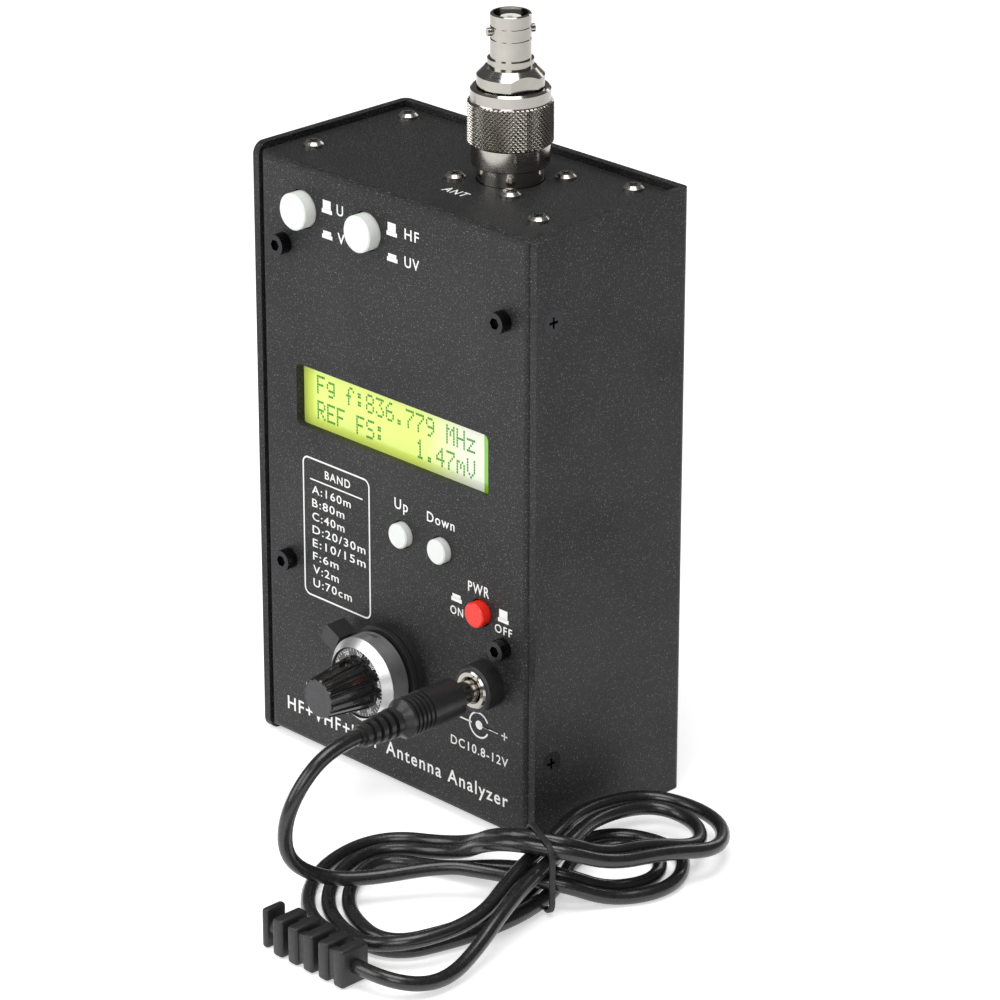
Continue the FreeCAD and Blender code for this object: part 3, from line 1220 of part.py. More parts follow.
# Straight runs joined by tangent arcs, each as large as its two runs allow.
def rounded_route(points, radii):
    edges, at = [], points[0]
    for before, corner, after in zip(points, points[1:], points[2:]):
        reach = 0.45 * min((corner - before).Length, (after - corner).Length)
        start = corner + (before - corner).normalize() * reach
        end = corner + (after - corner).normalize() * reach
        edges += [Part.LineSegment(at, start).toShape(), bend(start, corner, end, radii)]
        at = end
    return edges + [Part.LineSegment(at, points[-1]).toShape()]


# Two tangent arcs between two places whose headings are given.
def two_arcs(first, first_way, last, last_way, radii):
    across, both = last - first, first_way + last_way
    spread = 2 * (1 - first_way.dot(last_way))
    if spread < 1e-9:
        reach = across.dot(across) / (4 * across.dot(last_way))
    else:
        lean = across.dot(both)
        reach = (math.sqrt(lean * lean + spread * across.dot(across)) - lean) / spread
    near, far = first + first_way * reach, last - last_way * reach
    middle = (near + far) / 2
    return [bend(first, near, middle, radii), bend(middle, far, last, radii)]


# A round tube along a path, checked against its section times its length.
def tube(name, edges, radii):
    path = doc.addObject("Part::Feature", name + "_path")
    path.Shape = Part.Wire(edges)
    start = edges[0].valueAt(edges[0].FirstParameter)
    way = edges[0].tangentAt(edges[0].FirstParameter)
    ring = doc.addObject("Part::Circle", name + "_section")
    bind(ring, Radius="cord_radius")
    ring.Placement = FreeCAD.Placement(start, Rotation(Vector(0, 0, 1), way))
    sweep = doc.addObject("Part::Sweep", name)
    sweep.Sections, sweep.Spine, sweep.Solid, sweep.Frenet = [ring], (path, []), True, False
    doc.recompute()
    length = path.Shape.Length
    share = sweep.Shape.Volume / (math.pi * RADIUS * RADIUS * length)
    print("%s: %.1f mm long, least radius %.1f mm, volume %.4f of section times length"
          % (name, length, min(radii), share))
    print("   radii " + " ".join("%.1f" % radius for radius in radii))
    if abs(share - 1) > 0.01:
        raise RuntimeError(name + " has the wrong volume")
    return sweep


# Hank: a flat figure of eight in four rounds, drawn in at its waist, where its eight strands
# pass in two lanes and four rows. Its places are measured from the tie, along the hank and
# towards the viewer, and its headings the same way.
ALONG = Vector(math.sqrt(0.5), math.sqrt(0.5), 0)
ASIDE = Vector(math.sqrt(0.5), -math.sqrt(0.5), 0)
TIE = cord_place(sheet.tie_side, sheet.tie_reach, 0)
WAIST = [sheet.tie_thick + sheet.tie_slack + RADIUS + row * sheet.waist_step for row in range(4)]


def station(along, aside, way_along, way_aside, level, lane=0, climb=0):
    size = math.hypot(way_along, way_aside)
    place = TIE + ALONG * (along - way_aside / size * lane) + ASIDE * (aside + way_along / size * lane)
    place.z = level
    return place, (ALONG * way_along + ASIDE * way_aside + Vector(0, 0, climb)).normalize()


# The right loops: near side, tip and far side, of the two low rounds and of the two high ones.
RIGHT_LOOPS = [
    [(19.93, -4.96, 1, -0.24, RADIUS, 0), (27.93, -15.01, 0, -1, RADIUS, 0),
     (13.52, -23.12, -1, 0.74, RADIUS, 0)],
    [(19.25, -7.99, 1, -0.61, 9.59, -0.08), (37.47, -22.87, 0, -1, 5.88, -0.03),
     (21.65, -33.0, -1, 0.66, 7.53, 0.08)]]


def hank_stations():
    stations = []
    for turn in range(4):
        tier, lane = divmod(turn, 2)
        in_lane = (0.5 - lane) * sheet.waist_lane
        stations.append(station(0, 0, 1, 0.34, WAIST[2 * tier + 1], in_lane))
        for along, aside, way_along, way_aside, level, climb in RIGHT_LOOPS[tier]:
            stations.append(station(along, aside, way_along, way_aside, level,
                                    (1 - lane) * sheet.right_lane, climb))
        stations.append(station(0, 0, -1, 2.05, WAIST[2 * tier], in_lane))
        if turn < 3:
            over = turn == 2
            stations.append(station(-26.95, 20.54, -1, 0.5, 6.99 if over else RADIUS,
                                    -turn * sheet.left_near_lane, -0.06 if over else 0))
            stations.append(station(-44.0, 0.65, 0, -1, RADIUS, -turn * sheet.left_tip_lane))
            stations.append(station(-30.95, -16.0, 1, 0.36, 2.81 if turn else RADIUS,
                                    -turn * sheet.left_far_lane, 0.06 if turn else 0))
    return stations


# The least distance between two points of the path that lie more than three diameters apart
# along it, less the cord's diameter.
def least_gap(edges):
    points = Part.Wire(edges).discretize(Distance=0.8)
    skip = int(3 * 2 * RADIUS / 0.8)
    least = min((points[i] - other).Length for i in range(len(points)) for other in points[i + skip:])
    return least - 2 * RADIUS


STATIONS = hank_stations()
HANK_START = STATIONS[0][0] - STATIONS[0][1] * (2 * RADIUS)
HANK_END = STATIONS[-1][0] + STATIONS[-1][1] * (2 * RADIUS)


def cord_hank():
    radii = []
    edges = [Part.LineSegment(HANK_START, STATIONS[0][0]).toShape()]
    for (first, first_way), (last, last_way) in zip(STATIONS, STATIONS[1:]):
        edges += two_arcs(first, first_way, last, last_way, radii)
    edges.append(Part.LineSegment(STATIONS[-1][0], HANK_END).toShape())
    gap = least_gap(edges)
    print("cord_hank: least gap to itself %.2f mm" % gap)
    return tube("cord_hank", edges, radii)


# Lead: out of the plug's relief, down over the left loops' tips and along them into the waist.
def cord_lead():
    reach = (sheet.grip_reach + sheet.grip_smooth + sheet.grip_ridges * sheet.grip_ridge_step
             + sheet.grip_neck + sheet.relief_rings * sheet.relief_step)
    points = [cord_place(-sheet.jack_inset, reach, sheet.jack_level),
              cord_place(-sheet.jack_inset, reach + 8.2, sheet.jack_level)]
    points += [cord_place(*place) for place in [
        (-16.6, 58.2, 32.8), (-18.1, 62.6, 23.3), (-18.9, 61.2, 13.4), (-16.2, 54.4, 7.4),
        (-10.0, 46.0, 6.0), (0.5, 29.5, 7.6)]]
    points += [HANK_START - STATIONS[0][1] * 9, HANK_START]
    radii = []
    return tube("cord_lead", rounded_route(points, radii), radii)


# Tail: out of the waist, down outside the left loops, and round into the last relief.
def cord_tail():
    points = [HANK_END, HANK_END + STATIONS[-1][1] * 8.5]
    points += [cord_place(*place) for place in [
        (27.9, 38.2, 9.0), (30.5, 48.6, 4.7), (32.4, 58.3, 2.3), (31.9, 67.2, 3.1)]]
    end = cord_place(sheet.relief_side, sheet.relief_place, sheet.relief_level)
    points += [end + Vector(8.2, 0, 0), end]
    radii = []
    return tube("cord_tail", rounded_route(points, radii), radii)


# Tie: a flat rubber ring round the waist, with round corners. It stands on the surface.
def cord_tie():
    top = "tie_thick + 2 * tie_slack + 2 * cord_radius + 3 * waist_step"
    band = round_edges(box("0 - tie_band / 2", "tie_band / 2",
                           "0 - tie_half - tie_thick", "tie_half + tie_thick",
                           "0", top + " + tie_thick"), sheet.tie_corner + sheet.tie_thick,
                       lambda way, at: abs(way.x) > 0.9)
    hole = round_edges(box("0 - tie_band", "tie_band", "0 - tie_half", "tie_half", "tie_thick", top),
                       sheet.tie_corner, lambda way, at: abs(way.x) > 0.9)
    return turned_group(cut(band, hole), "tie_turn",
                        ("case_width / 2 + tie_side", FACE + " - tie_reach", "0"))


# Last relief: a moulded ribbed sleeve on the cord's end, lying on the surface along the panel.
def cord_grommet():
    side, front = "case_width / 2 + relief_side", FACE + " - relief_place"
    core = "rib_count * rib_step - rib_step + rib_thick / 2 + stop_step + stop_thick / 2"
    parts = [rod("-x", side, front, "relief_level", "relief_body", core)]

    def plate(middle, thick, half, half_height):
        slab = box("%s - %s - %s / 2" % (side, middle, thick), "%s - %s + %s / 2" % (side, middle, thick),
                   "%s - %s" % (front, half), "%s + %s" % (front, half),
                   "relief_level - " + half_height, "relief_level + " + half_height)
        return round_edges(slab, 0.8, lambda way, at: abs(way.x) > 0.9)
    for number in range(int(sheet.rib_count)):
        parts.append(plate("rib_thick / 2 - %d * rib_step" % number, "rib_thick",
                           "rib_half", "rib_half_height"))
    parts.append(plate("rib_thick / 2 - (rib_count - 1) * rib_step - stop_step", "stop_thick", "stop_half",
                       "stop_half_height"))
    return fuse(*parts)


piece("front_chassis", front_chassis())
piece("rear_cover", rear_cover())
piece("cover_screws", cover_screws())
piece("panel_cap_screws", panel_cap_screws())
piece("board_standoffs", board_standoffs())
piece("board_screws", board_screws())
piece("main_board", main_board())
piece("board_components", board_components())
piece("shield_can", shield_can())
piece("lcd_board", lcd_board())
piece("lcd_bezel", lcd_bezel())
piece("lcd_glass", lcd_slab(GLASS_FRONT, GLASS_BACK, "bezel_skin"))
piece("lcd_backlight", lcd_slab(GLASS_BACK, LCD_BOARD, "bezel_skin"))
piece("lcd_header", lcd_header())
piece("latching_switches", latching_switches())
piece("tact_switches", tact_switches())
for button in ("u_v", "hf_uv", "power"):
    piece(button + "_plunger", plunger(button))
for button in BUTTONS:
    piece(button + "_button", button_cap(button))
piece("mounting_rails", mounting_rails())
piece("top_screws", top_screws())
piece("rf_board", rf_board())
piece("rf_shield_can", rf_shield_can())
piece("antenna_jack", antenna_jack())
piece("jack_insulator", jack_insulator())
piece("jack_contact", jack_contact())
piece("flange_screws", flange_screws())
piece("flange_nuts", flange_nuts())
piece("adapter_body", adapter_body())
piece("adapter_insulator", adapter_insulator())
piece("adapter_contact", adapter_contact())
piece("coupling_nut", coupling_nut())
piece("pot_body", pot_body())
piece("pot_nut", pot_nut())
piece("pot_shaft", pot_shaft())
piece("dial_base", dial_base())
piece("dial_ring", dial_ring())
piece("turn_counter_ring", turn_counter_ring())
piece("scale_disc", scale_disc())
piece("tuning_knob", tuning_knob())
piece("knob_cap", knob_cap())
piece("knob_grub_screw", knob_grub_screw())
piece("brake_lever", brake_lever())
piece("dc_jack_collar", dc_jack_collar())
piece("dc_jack_socket", dc_jack_socket())
piece("dc_jack_pin", dc_jack_pin())
piece("dc_jack_nut", dc_jack_nut())
piece("plug_barrel", plug_barrel())
piece("plug_insulator", plug_insulator())
piece("plug_grip", plug_grip())
piece("cord_lead", cord_lead())
piece("cord_hank", cord_hank())
piece("cord_tail", cord_tail())
piece("cord_tie", cord_tie())
piece("cord_grommet", cord_grommet())

doc.recompute()
for thing in doc.Objects:
    if "Invalid" in thing.State or "Error" in thing.State:
        raise RuntimeError("%s did not build: %s" % (thing.Name, thing.State))
for thing in made:
    if thing.Shape.isNull() or not thing.Shape.isValid():
        raise RuntimeError("%s has no valid shape" % thing.Label)

os.makedirs("parts", exist_ok=True)
for thing in made:
    thing.Shape.exportStep("parts/%s.step" % thing.Label)
    print("%-20s %2d solids %10.2f mm3" % (thing.Label, len(thing.Shape.Solids), thing.Shape.Volume))
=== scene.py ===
import math

import bmesh
import bpy
from mathutils import Matrix, Vector


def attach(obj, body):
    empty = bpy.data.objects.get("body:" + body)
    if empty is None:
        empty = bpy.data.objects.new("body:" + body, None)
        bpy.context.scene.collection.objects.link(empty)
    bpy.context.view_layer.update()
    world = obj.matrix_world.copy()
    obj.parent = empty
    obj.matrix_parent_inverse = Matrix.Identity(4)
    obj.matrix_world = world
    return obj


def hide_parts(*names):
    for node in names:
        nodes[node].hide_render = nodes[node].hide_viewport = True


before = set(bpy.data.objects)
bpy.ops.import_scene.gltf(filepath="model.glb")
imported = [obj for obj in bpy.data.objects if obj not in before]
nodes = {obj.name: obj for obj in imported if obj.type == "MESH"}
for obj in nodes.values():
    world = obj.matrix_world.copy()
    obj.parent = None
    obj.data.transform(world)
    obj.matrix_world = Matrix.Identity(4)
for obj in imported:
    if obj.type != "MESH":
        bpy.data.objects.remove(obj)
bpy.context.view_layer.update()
scene = bpy.context.scene

# Camera: a long lens on a stand, in front of the analyzer, to its right and above it.
# The colours are shown as the camera's sensor saw them, with no film curve.
scene.view_settings.view_transform = "Standard"
turn, rise, tilt = math.radians(45.81582), math.radians(22.47664), math.radians(-0.12305)
camera_distance = 1.0758846
aim = Vector((0, 0.01198341, 0.07683692))
sight = Vector((math.sin(turn) * math.cos(rise), -math.cos(turn) * math.cos(rise), math.sin(rise)))
lens = bpy.data.cameras.new("camera")
lens.lens, lens.sensor_width = 161.6, 36
lens.shift_x, lens.shift_y = 0.0309, -0.0321
camera = bpy.data.objects.new("camera", lens)
camera.matrix_world = (Matrix.Translation(aim + camera_distance * sight) @ Matrix.Rotation(turn, 4, "Z")
                       @ Matrix.Rotation(math.pi / 2 - rise, 4, "X") @ Matrix.Rotation(tilt, 4, "Z"))
scene.collection.objects.link(camera)
scene.camera = camera


# Cord: one metre of thin two-core lead in glossy black vinyl, from the plug to the
# grommet. Its middle is a figure-of-eight hank of four turns, pressed flat on the floor.
class Wire:
    """One output of a shader node, which adds its sums as Math nodes."""

    def __init__(self, finish, socket):
        self.finish, self.socket = finish, socket

    def sum(self, step, first, second):
        return self.finish.node("ShaderNodeMath", {"operation": step}, {0: first, 1: second})

    def __add__(self, other):
        return self.sum("ADD", self, other)

    def __mul__(self, other):
        return self.sum("MULTIPLY", self, other)

    def __gt__(self, other):
        return self.sum("GREATER_THAN", self, other)

    __radd__, __rmul__ = __add__, __mul__


class Finish:
    """A material for one kind of surface. Its even sizes are set on the shader itself."""

    def __init__(self, name, **even):
        self.material = bpy.data.materials.new(name)
        self.material.use_nodes = True
        self.tree = self.material.node_tree
        self.tree.nodes.clear()
        self.shader = self.tree.nodes.new("ShaderNodeBsdfPrincipled")
        end = self.tree.nodes.new("ShaderNodeOutputMaterial")
        self.tree.links.new(self.shader.outputs[0], end.inputs[0])
        for socket, value in even.items():
            self.shader.inputs[socket.replace("_", " ")].default_value = value
        self.place = self.node("ShaderNodeTexCoord", {}, {}, "Object")

    def node(self, kind, settings, values, result=0):
        node = self.tree.nodes.new(kind)
        for name, value in settings.items():
            setattr(node, name, value)
        for name, value in values.items():
            if isinstance(value, Wire):
                self.tree.links.new(value.socket, node.inputs[name])
            else:
                node.inputs[name].default_value = value
        return Wire(self, node.outputs[result])

    def across(self, way):
        return self.node("ShaderNodeSeparateXYZ", {}, {0: self.place}, way)

    def grain(self, size, detail=2.0, stretch=None):
        place = self.place
        if stretch:
            place = self.node("ShaderNodeVectorMath", {"operation": "MULTIPLY"}, {0: place, 1: stretch})
        return self.node("ShaderNodeTexNoise", {}, {"Vector": place, "Scale": 1 / size, "Detail": detail})

    def between(self, value, low, high, start=0.0, end=1.0):
        return self.node("ShaderNodeMapRange", {"interpolation_type": "SMOOTHSTEP"},
                         {0: value, 1: low, 2: high, 3: start, 4: end})

    def blend(self, share, first, second):
        return self.node("ShaderNodeMix", {"data_type": "RGBA"}, {0: share, 6: first, 7: second}, 2)

    def feed(self, socket, value):
        self.tree.links.new(value.socket, self.shader.inputs[socket])

    def relief(self, height, depth):
        self.feed("Normal", self.node("ShaderNodeBump", {}, {"Strength": 0.9, "Distance": depth,
                                                             "Height": height}))


vinyl = Finish("cord_vinyl", Coat_Weight=0.35, Coat_Roughness=0.12)
smear = vinyl.grain(0.006)
vinyl.feed("Base Color", vinyl.blend(smear, (0.006, 0.006, 0.007, 1), (0.016, 0.016, 0.017, 1)))
vinyl.feed("Roughness", vinyl.between(vinyl.grain(0.0012, 4), 0.3, 0.7, 0.24, 0.38))
vinyl.relief(vinyl.grain(0.0009), 0.00003)

MM = 0.001
CORD_RADIUS = 1.75
TIE_PLACE = Vector((66, -29.6, 0))
TIE_THICK, TIE_SLACK = 0.8, 0.12
HANK_WAY = Vector((math.sqrt(0.5), math.sqrt(0.5), 0))
HANK_SIDE = Vector((math.sqrt(0.5), -math.sqrt(0.5), 0))
HANK_TURNS = 4
WAIST_STEP, WAIST_LANE, RIGHT_LANE = 4.18, 4.6, 5.34
LEFT_NEAR_LANE, LEFT_TIP_LANE, LEFT_FAR_LANE = 4.6, 4.71, 4.94
RUN_IN, RUN_OUT = 9, 8.5
WAIST = [TIE_THICK + TIE_SLACK + CORD_RADIUS + row * WAIST_STEP for row in range(4)]


def hank_spot(along, aside, way_along, way_aside, level, lane=0.0, climb=0.0):
    across = math.hypot(way_along, way_aside)
    spot = (TIE_PLACE + HANK_WAY * (along - way_aside / across * lane)
            + HANK_SIDE * (aside + way_along / across * lane))
    spot.z = level
    way = HANK_WAY * way_along + HANK_SIDE * way_aside + Vector((0, 0, climb))
    return spot, way.normalized()


RIGHT_LOOPS = (
    ((19.93, -4.96, 1, -0.24, CORD_RADIUS, 0), (27.93, -15.01, 0, -1, CORD_RADIUS, 0),
     (13.52, -23.12, -1, 0.74, CORD_RADIUS, 0)),
    ((19.25, -7.99, 1, -0.61, 9.59, -0.08), (37.47, -22.87, 0, -1, 5.88, -0.03),
     (21.65, -33.0, -1, 0.66, 7.53, 0.08)))
hank = []
for loop in range(HANK_TURNS):
    tier, lane = divmod(loop, 2)
    in_lane = (0.5 - lane) * WAIST_LANE
    hank.append(hank_spot(0, 0, 1, 0.34, WAIST[2 * tier + 1], in_lane))
    for along, aside, way_along, way_aside, level, climb in RIGHT_LOOPS[tier]:
        hank.append(hank_spot(along, aside, way_along, way_aside, level, (1 - lane) * RIGHT_LANE, climb))
    hank.append(hank_spot(0, 0, -1, 2.05, WAIST[2 * tier], in_lane))
    if loop < HANK_TURNS - 1:
        over = loop == 2
        hank += [hank_spot(-26.95, 20.54, -1, 0.5, 6.99 if over else CORD_RADIUS,
                           -loop * LEFT_NEAR_LANE, -0.06 * over),
                 hank_spot(-44.0, 0.65, 0, -1, CORD_RADIUS, -loop * LEFT_TIP_LANE),
                 hank_spot(-30.95, -16.0, 1, 0.36, 2.81 if loop else CORD_RADIUS,
                           -loop * LEFT_FAR_LANE, 0.06 if loop else 0)]
hank_start = hank[0][0] - 2 * CORD_RADIUS * hank[0][1]
hank_end = hank[-1][0] + 2 * CORD_RADIUS * hank[-1][1]
route = [Vector(spot) for spot in (
    (31.6, -54.35, 38.7), (31.6, -62.55, 38.7), (30.9, -71.2, 32.8), (29.4, -75.6, 23.3),
    (28.6, -74.2, 13.4), (31.3, -67.4, 7.4), (37.5, -59.0, 6.0), (48.0, -42.5, 7.6))]
route.append(hank_start - RUN_IN * hank[0][1])
for (spot, way), (next_spot, next_way) in zip(hank, hank[1:]):
    gap, both = next_spot - spot, way + next_way
    spread = 2 * (1 - way.dot(next_way))
    if spread > 1e-6:
        reach = (math.sqrt(gap.dot(both) ** 2 + spread * gap.dot(gap)) - gap.dot(both)) / spread
    else:
        reach = gap.dot(gap) / (4 * gap.dot(next_way))
    route += [spot + way * reach, next_spot - next_way * reach]
route.append(hank_end + RUN_OUT * hank[-1][1])
route += [Vector(spot) for spot in (
    (75.4, -51.2, 9.0), (78.0, -61.6, 4.7), (79.9, -71.3, 2.3), (79.4, -80.2, 3.1),
    (73.2, -86.6, 4.95), (65.0, -86.6, 4.95))]
line = bpy.data.curves.new("supply_cord", "CURVE")
line.dimensions = "3D"
spline = line.splines.new("NURBS")
spline.points.add(len(route) - 1)
for point, spot in zip(spline.points, route):
    point.co = (*(spot * MM), 1)
spline.order_u = 3
spline.use_endpoint_u = True
spline.resolution_u = 14
line.bevel_depth = CORD_RADIUS * MM
line.bevel_resolution = 5
line.use_fill_caps = True
cord = bpy.data.objects.new("supply_cord", line)
scene.collection.objects.link(cord)
line.materials.append(vinyl.material)
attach(cord, "plug")
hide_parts("cord_lead", "cord_hank", "cord_tail")

# Cord tie: a band cut from black rubber tube, stretched round the waist of the hank.
# It stands on the floor, and its corners are round where the cords press them out.
rubber = Finish("tie_rubber")
rubber.feed("Base Color", rubber.blend(rubber.grain(0.002, 4), (0.008, 0.008, 0.009, 1),
                                       (0.02, 0.02, 0.021, 1)))
rubber.feed("Roughness", rubber.between(rubber.grain(0.001), 0.3, 0.7, 0.5, 0.66))
rubber.relief(rubber.grain(0.0005), 0.00004)


def rounded_rim(half_across, half_high, corner, rim, deep):
    """A flat hoop of the given outside, with round corners, and its flat sides across z."""
    form = bmesh.new()
    bmesh.ops.create_grid(form, x_segments=1, y_segments=1, size=1)
    bmesh.ops.scale(form, vec=(half_across, half_high, 1), verts=form.verts)
    bmesh.ops.bevel(form, geom=form.verts[:], offset=corner, offset_type="OFFSET", segments=8,
                    profile=0.5, affect="VERTICES", material=-1)
    bmesh.ops.inset_region(form, faces=form.faces[:], thickness=rim, use_even_offset=True,
                           use_boundary=True)
    middle = max(form.faces, key=lambda face: len(face.verts))
    bmesh.ops.delete(form, geom=[middle], context="FACES_ONLY")
    raised = bmesh.ops.extrude_face_region(form, geom=form.faces[:])["geom"]
    bmesh.ops.translate(form, vec=(0, 0, deep), verts=[part for part in raised
                                                       if isinstance(part, bmesh.types.BMVert)])
    bmesh.ops.recalc_face_normals(form, faces=form.faces)
    return form


def finished(name, form, finish, body, smooth=True):
    """The object made from a mesh in millimetres, which rides on a body."""
    bmesh.ops.scale(form, vec=(MM, MM, MM), verts=form.verts)
    mesh = bpy.data.meshes.new(name)
    form.to_mesh(mesh)
    form.free()
    if smooth:
        mesh.shade_smooth()
        mesh.set_sharp_from_angle(angle=math.radians(35))
    mesh.materials.append(finish.material)
    piece = bpy.data.objects.new(name, mesh)
    scene.collection.objects.link(piece)
    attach(piece, body)
    return piece


TIE_HALF, TIE_TOP, TIE_CORNER, TIE_DEEP = 8.3, 17.08, 3.8, 1.4
TIE_TURN = math.radians(65)
tie_middle = (TIE_TOP + TIE_THICK) / 2
band = rounded_rim(TIE_HALF, tie_middle, TIE_CORNER, TIE_THICK, TIE_DEEP)
rims = [edge for edge in band.edges if abs(edge.verts[0].co.z - edge.verts[1].co.z) < 0.1
        and edge.calc_face_angle(0) > 1.2]
bmesh.ops.bevel(band, geom=rims, offset=0.22, offset_type="OFFSET", segments=2, profile=0.5,
                affect="EDGES", material=-1)
bmesh.ops.translate(band, vec=(0, 0, -TIE_DEEP / 2), verts=band.verts)
bmesh.ops.transform(band, matrix=Matrix.Translation((TIE_PLACE.x, TIE_PLACE.y, tie_middle))
                    @ Matrix.Rotation(TIE_TURN, 4, "Z") @ Matrix.Rotation(math.pi / 2, 4, "Z")
                    @ Matrix.Rotation(math.pi / 2, 4, "X"), verts=band.verts)
tie = finished("hank_tie", band, rubber, "plug")
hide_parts("cord_tie")

# Grommet at the cord's far end: black vinyl moulded on the cord in one piece, with five
# blocks on a thin core, linked at alternate sides so that it bends, and an end plate.
moulding = Finish("black_plastic")
moulding.feed("Base Color", moulding.blend(moulding.grain(0.004, 3), (0.01, 0.01, 0.011, 1),
                                           (0.022, 0.022, 0.023, 1)))
moulding.feed("Roughness", moulding.between(moulding.grain(0.0008), 0.3, 0.7, 0.36, 0.52))
moulding.relief(moulding.grain(0.0004), 0.00003)


def rounded_block(form, middle, sizes, rounding):
    block = bmesh.ops.create_cube(form, size=1)["verts"]
    bmesh.ops.scale(form, vec=sizes, verts=block)
    bmesh.ops.translate(form, vec=middle, verts=block)
    bmesh.ops.bevel(form, geom=list({edge for vert in block for edge in vert.link_edges}),
                    offset=rounding, offset_type="OFFSET", segments=3, profile=0.5, affect="EDGES",
                    material=-1)


GROMMET_FRONT, GROMMET_LEVEL = -86.6, 4.95
CORE_MIDDLE, CORE_RADIUS, CORE_LENGTH = 50.9, 2.3, 28.1
BLOCKS, BLOCK_STEP = 5, 5
FIRST_BLOCK, FIRST_LINK, END_PLATE = 63.35, 60.85, 37.85
BLOCK_SIZES, LINK_SIZES, PLATE_SIZES = (3.3, 8.3, 9.4), (3.0, 2.6, 7.4), (2.0, 6.0, 9.9)
LINK_ASIDE = 2.2
BLOCK_ROUNDING, LINK_ROUNDING = 0.8, 0.4
grommet = bmesh.new()
bmesh.ops.create_cone(grommet, cap_ends=True, segments=28, radius1=CORE_RADIUS, radius2=CORE_RADIUS,
                      depth=CORE_LENGTH,
                      matrix=Matrix.Translation((CORE_MIDDLE, GROMMET_FRONT, GROMMET_LEVEL))
                      @ Matrix.Rotation(math.pi / 2, 4, "Y"))
for number in range(BLOCKS):
    rounded_block(grommet, (FIRST_BLOCK - BLOCK_STEP * number, GROMMET_FRONT, GROMMET_LEVEL),
                  BLOCK_SIZES, BLOCK_ROUNDING)
    if number < BLOCKS - 1:
        side = 1 if number % 2 else -1
        rounded_block(grommet, (FIRST_LINK - BLOCK_STEP * number, GROMMET_FRONT + side * LINK_ASIDE,
                                GROMMET_LEVEL), LINK_SIZES, LINK_ROUNDING)
rounded_block(grommet, (END_PLATE, GROMMET_FRONT, GROMMET_LEVEL), PLATE_SIZES, BLOCK_ROUNDING)
grommet = finished("cord_end_grommet", grommet, moulding, "plug")
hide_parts("cord_grommet")

# Floor and light: a white table in a pale room, under four square soft boxes: one overhead,
# a strong one at the front left, one at the front right and a faint one behind.
table = Finish("floor_white", Roughness=0.9, Emission_Color=(1, 1, 1, 1), Emission_Strength=0.5)
table.feed("Base Color", table.blend(table.grain(0.3), (0.86, 0.86, 0.86, 1), (0.88, 0.88, 0.88, 1)))
FLOOR_DROP, ROOM_LIGHT = 0.00008, 0.14
floor = bmesh.new()
bmesh.ops.create_grid(floor, x_segments=2, y_segments=2, size=4)
bmesh.ops.translate(floor, vec=(0, 0, -FLOOR_DROP), verts=floor.verts)
floor_mesh = bpy.data.meshes.new("floor")
floor.to_mesh(floor_mesh)
floor_mesh.materials.append(table.material)
floor_object = bpy.data.objects.new("floor", floor_mesh)
scene.collection.objects.link(floor_object)

world = bpy.data.worlds.new("studio")
world.use_nodes = True
world.node_tree.nodes["Background"].inputs[0].default_value = (1, 1, 1, 1)
world.node_tree.nodes["Background"].inputs[1].default_value = ROOM_LIGHT
scene.world = world
SOFT_BOXES = (
    ("overhead_box", (0.1, -0.1, 1.1), 0.7, 7), ("front_box", (-0.6, -1.1, 0.8), 1.0, 10),
    ("right_box", (0.75, -1.1, 0.9), 0.8, 7), ("back_box", (-0.3, 1.2, 0.8), 0.6, 2.5))
for name, spot, size, power in SOFT_BOXES:
    box = bpy.data.lights.new(name, "AREA")
    box.shape, box.size, box.energy = "SQUARE", size, power
    softbox = bpy.data.objects.new(name, box)
    softbox.matrix_world = (Matrix.Translation(spot)
                            @ (aim - Vector(spot)).to_track_quat("-Z", "Y").to_matrix().to_4x4())
    scene.collection.objects.link(softbox)


# Case: two folded sheets of mild steel in black powder coat, whose baked skin has a fine
# pebbled grain with pale specks. The front sheet's coat is a little paler than the cover's.
def dress(finish, *names):
    for name in names:
        for place in nodes[name].material_slots:
            place.material = finish.material


def powder_coat(name, low, high):
    coat = Finish(name, Specular_IOR_Level=0.28)
    pebble = coat.grain(0.00042, 3)
    speck = coat.between(coat.grain(0.00034, 1), 0.62, 0.72)
    sheen = coat.between(coat.grain(0.03), 0.3, 0.7, 0.85, 1.15)
    ground = coat.blend(coat.between(pebble, 0.35, 0.65), (low, low, low * 1.02, 1),
                        (high, high, high * 1.03, 1))
    coat.feed("Base Color", coat.blend(speck * 0.38, ground, (0.3, 0.3, 0.3, 1)))
    coat.feed("Roughness", coat.between(pebble, 0.3, 0.7, 0.42, 0.58) * sheen)
    coat.relief(pebble, 0.00014)
    return coat


dress(powder_coat("panel_paint", 0.009, 0.022), "front_chassis")
dress(powder_coat("cover_paint", 0.007, 0.018), "rear_cover")


# Screws and nuts: black hexagon socket screws in the front, black countersunk ones in the
# sides, and bright nickel pan heads and nuts elsewhere, all finely scuffed.
def metal(name, colour, rough, streak=(1, 1, 1), mark=0.0004, cut=0.000002):
    plate = Finish(name, Metallic=1.0)
    scuff = plate.grain(mark, 4, streak)
    dark = tuple(part * 0.8 for part in colour)
    plate.feed("Base Color", plate.blend(plate.grain(0.003), (*dark, 1), (*colour, 1)))
    plate.feed("Roughness", plate.between(scuff, 0.3, 0.7, rough * 0.75, rough * 1.3))
    plate.relief(scuff, cut)
    return plate


blacked = metal("black_steel", (0.045, 0.045, 0.048), 0.26)
bright_steel = metal("nickel_steel", (0.5, 0.48, 0.44), 0.24)
dress(blacked, "panel_cap_screws", "cover_screws")
dress(bright_steel, "top_screws", "flange_screws", "flange_nuts", "board_screws", "pot_nut",
      "dc_jack_nut", "knob_grub_screw")

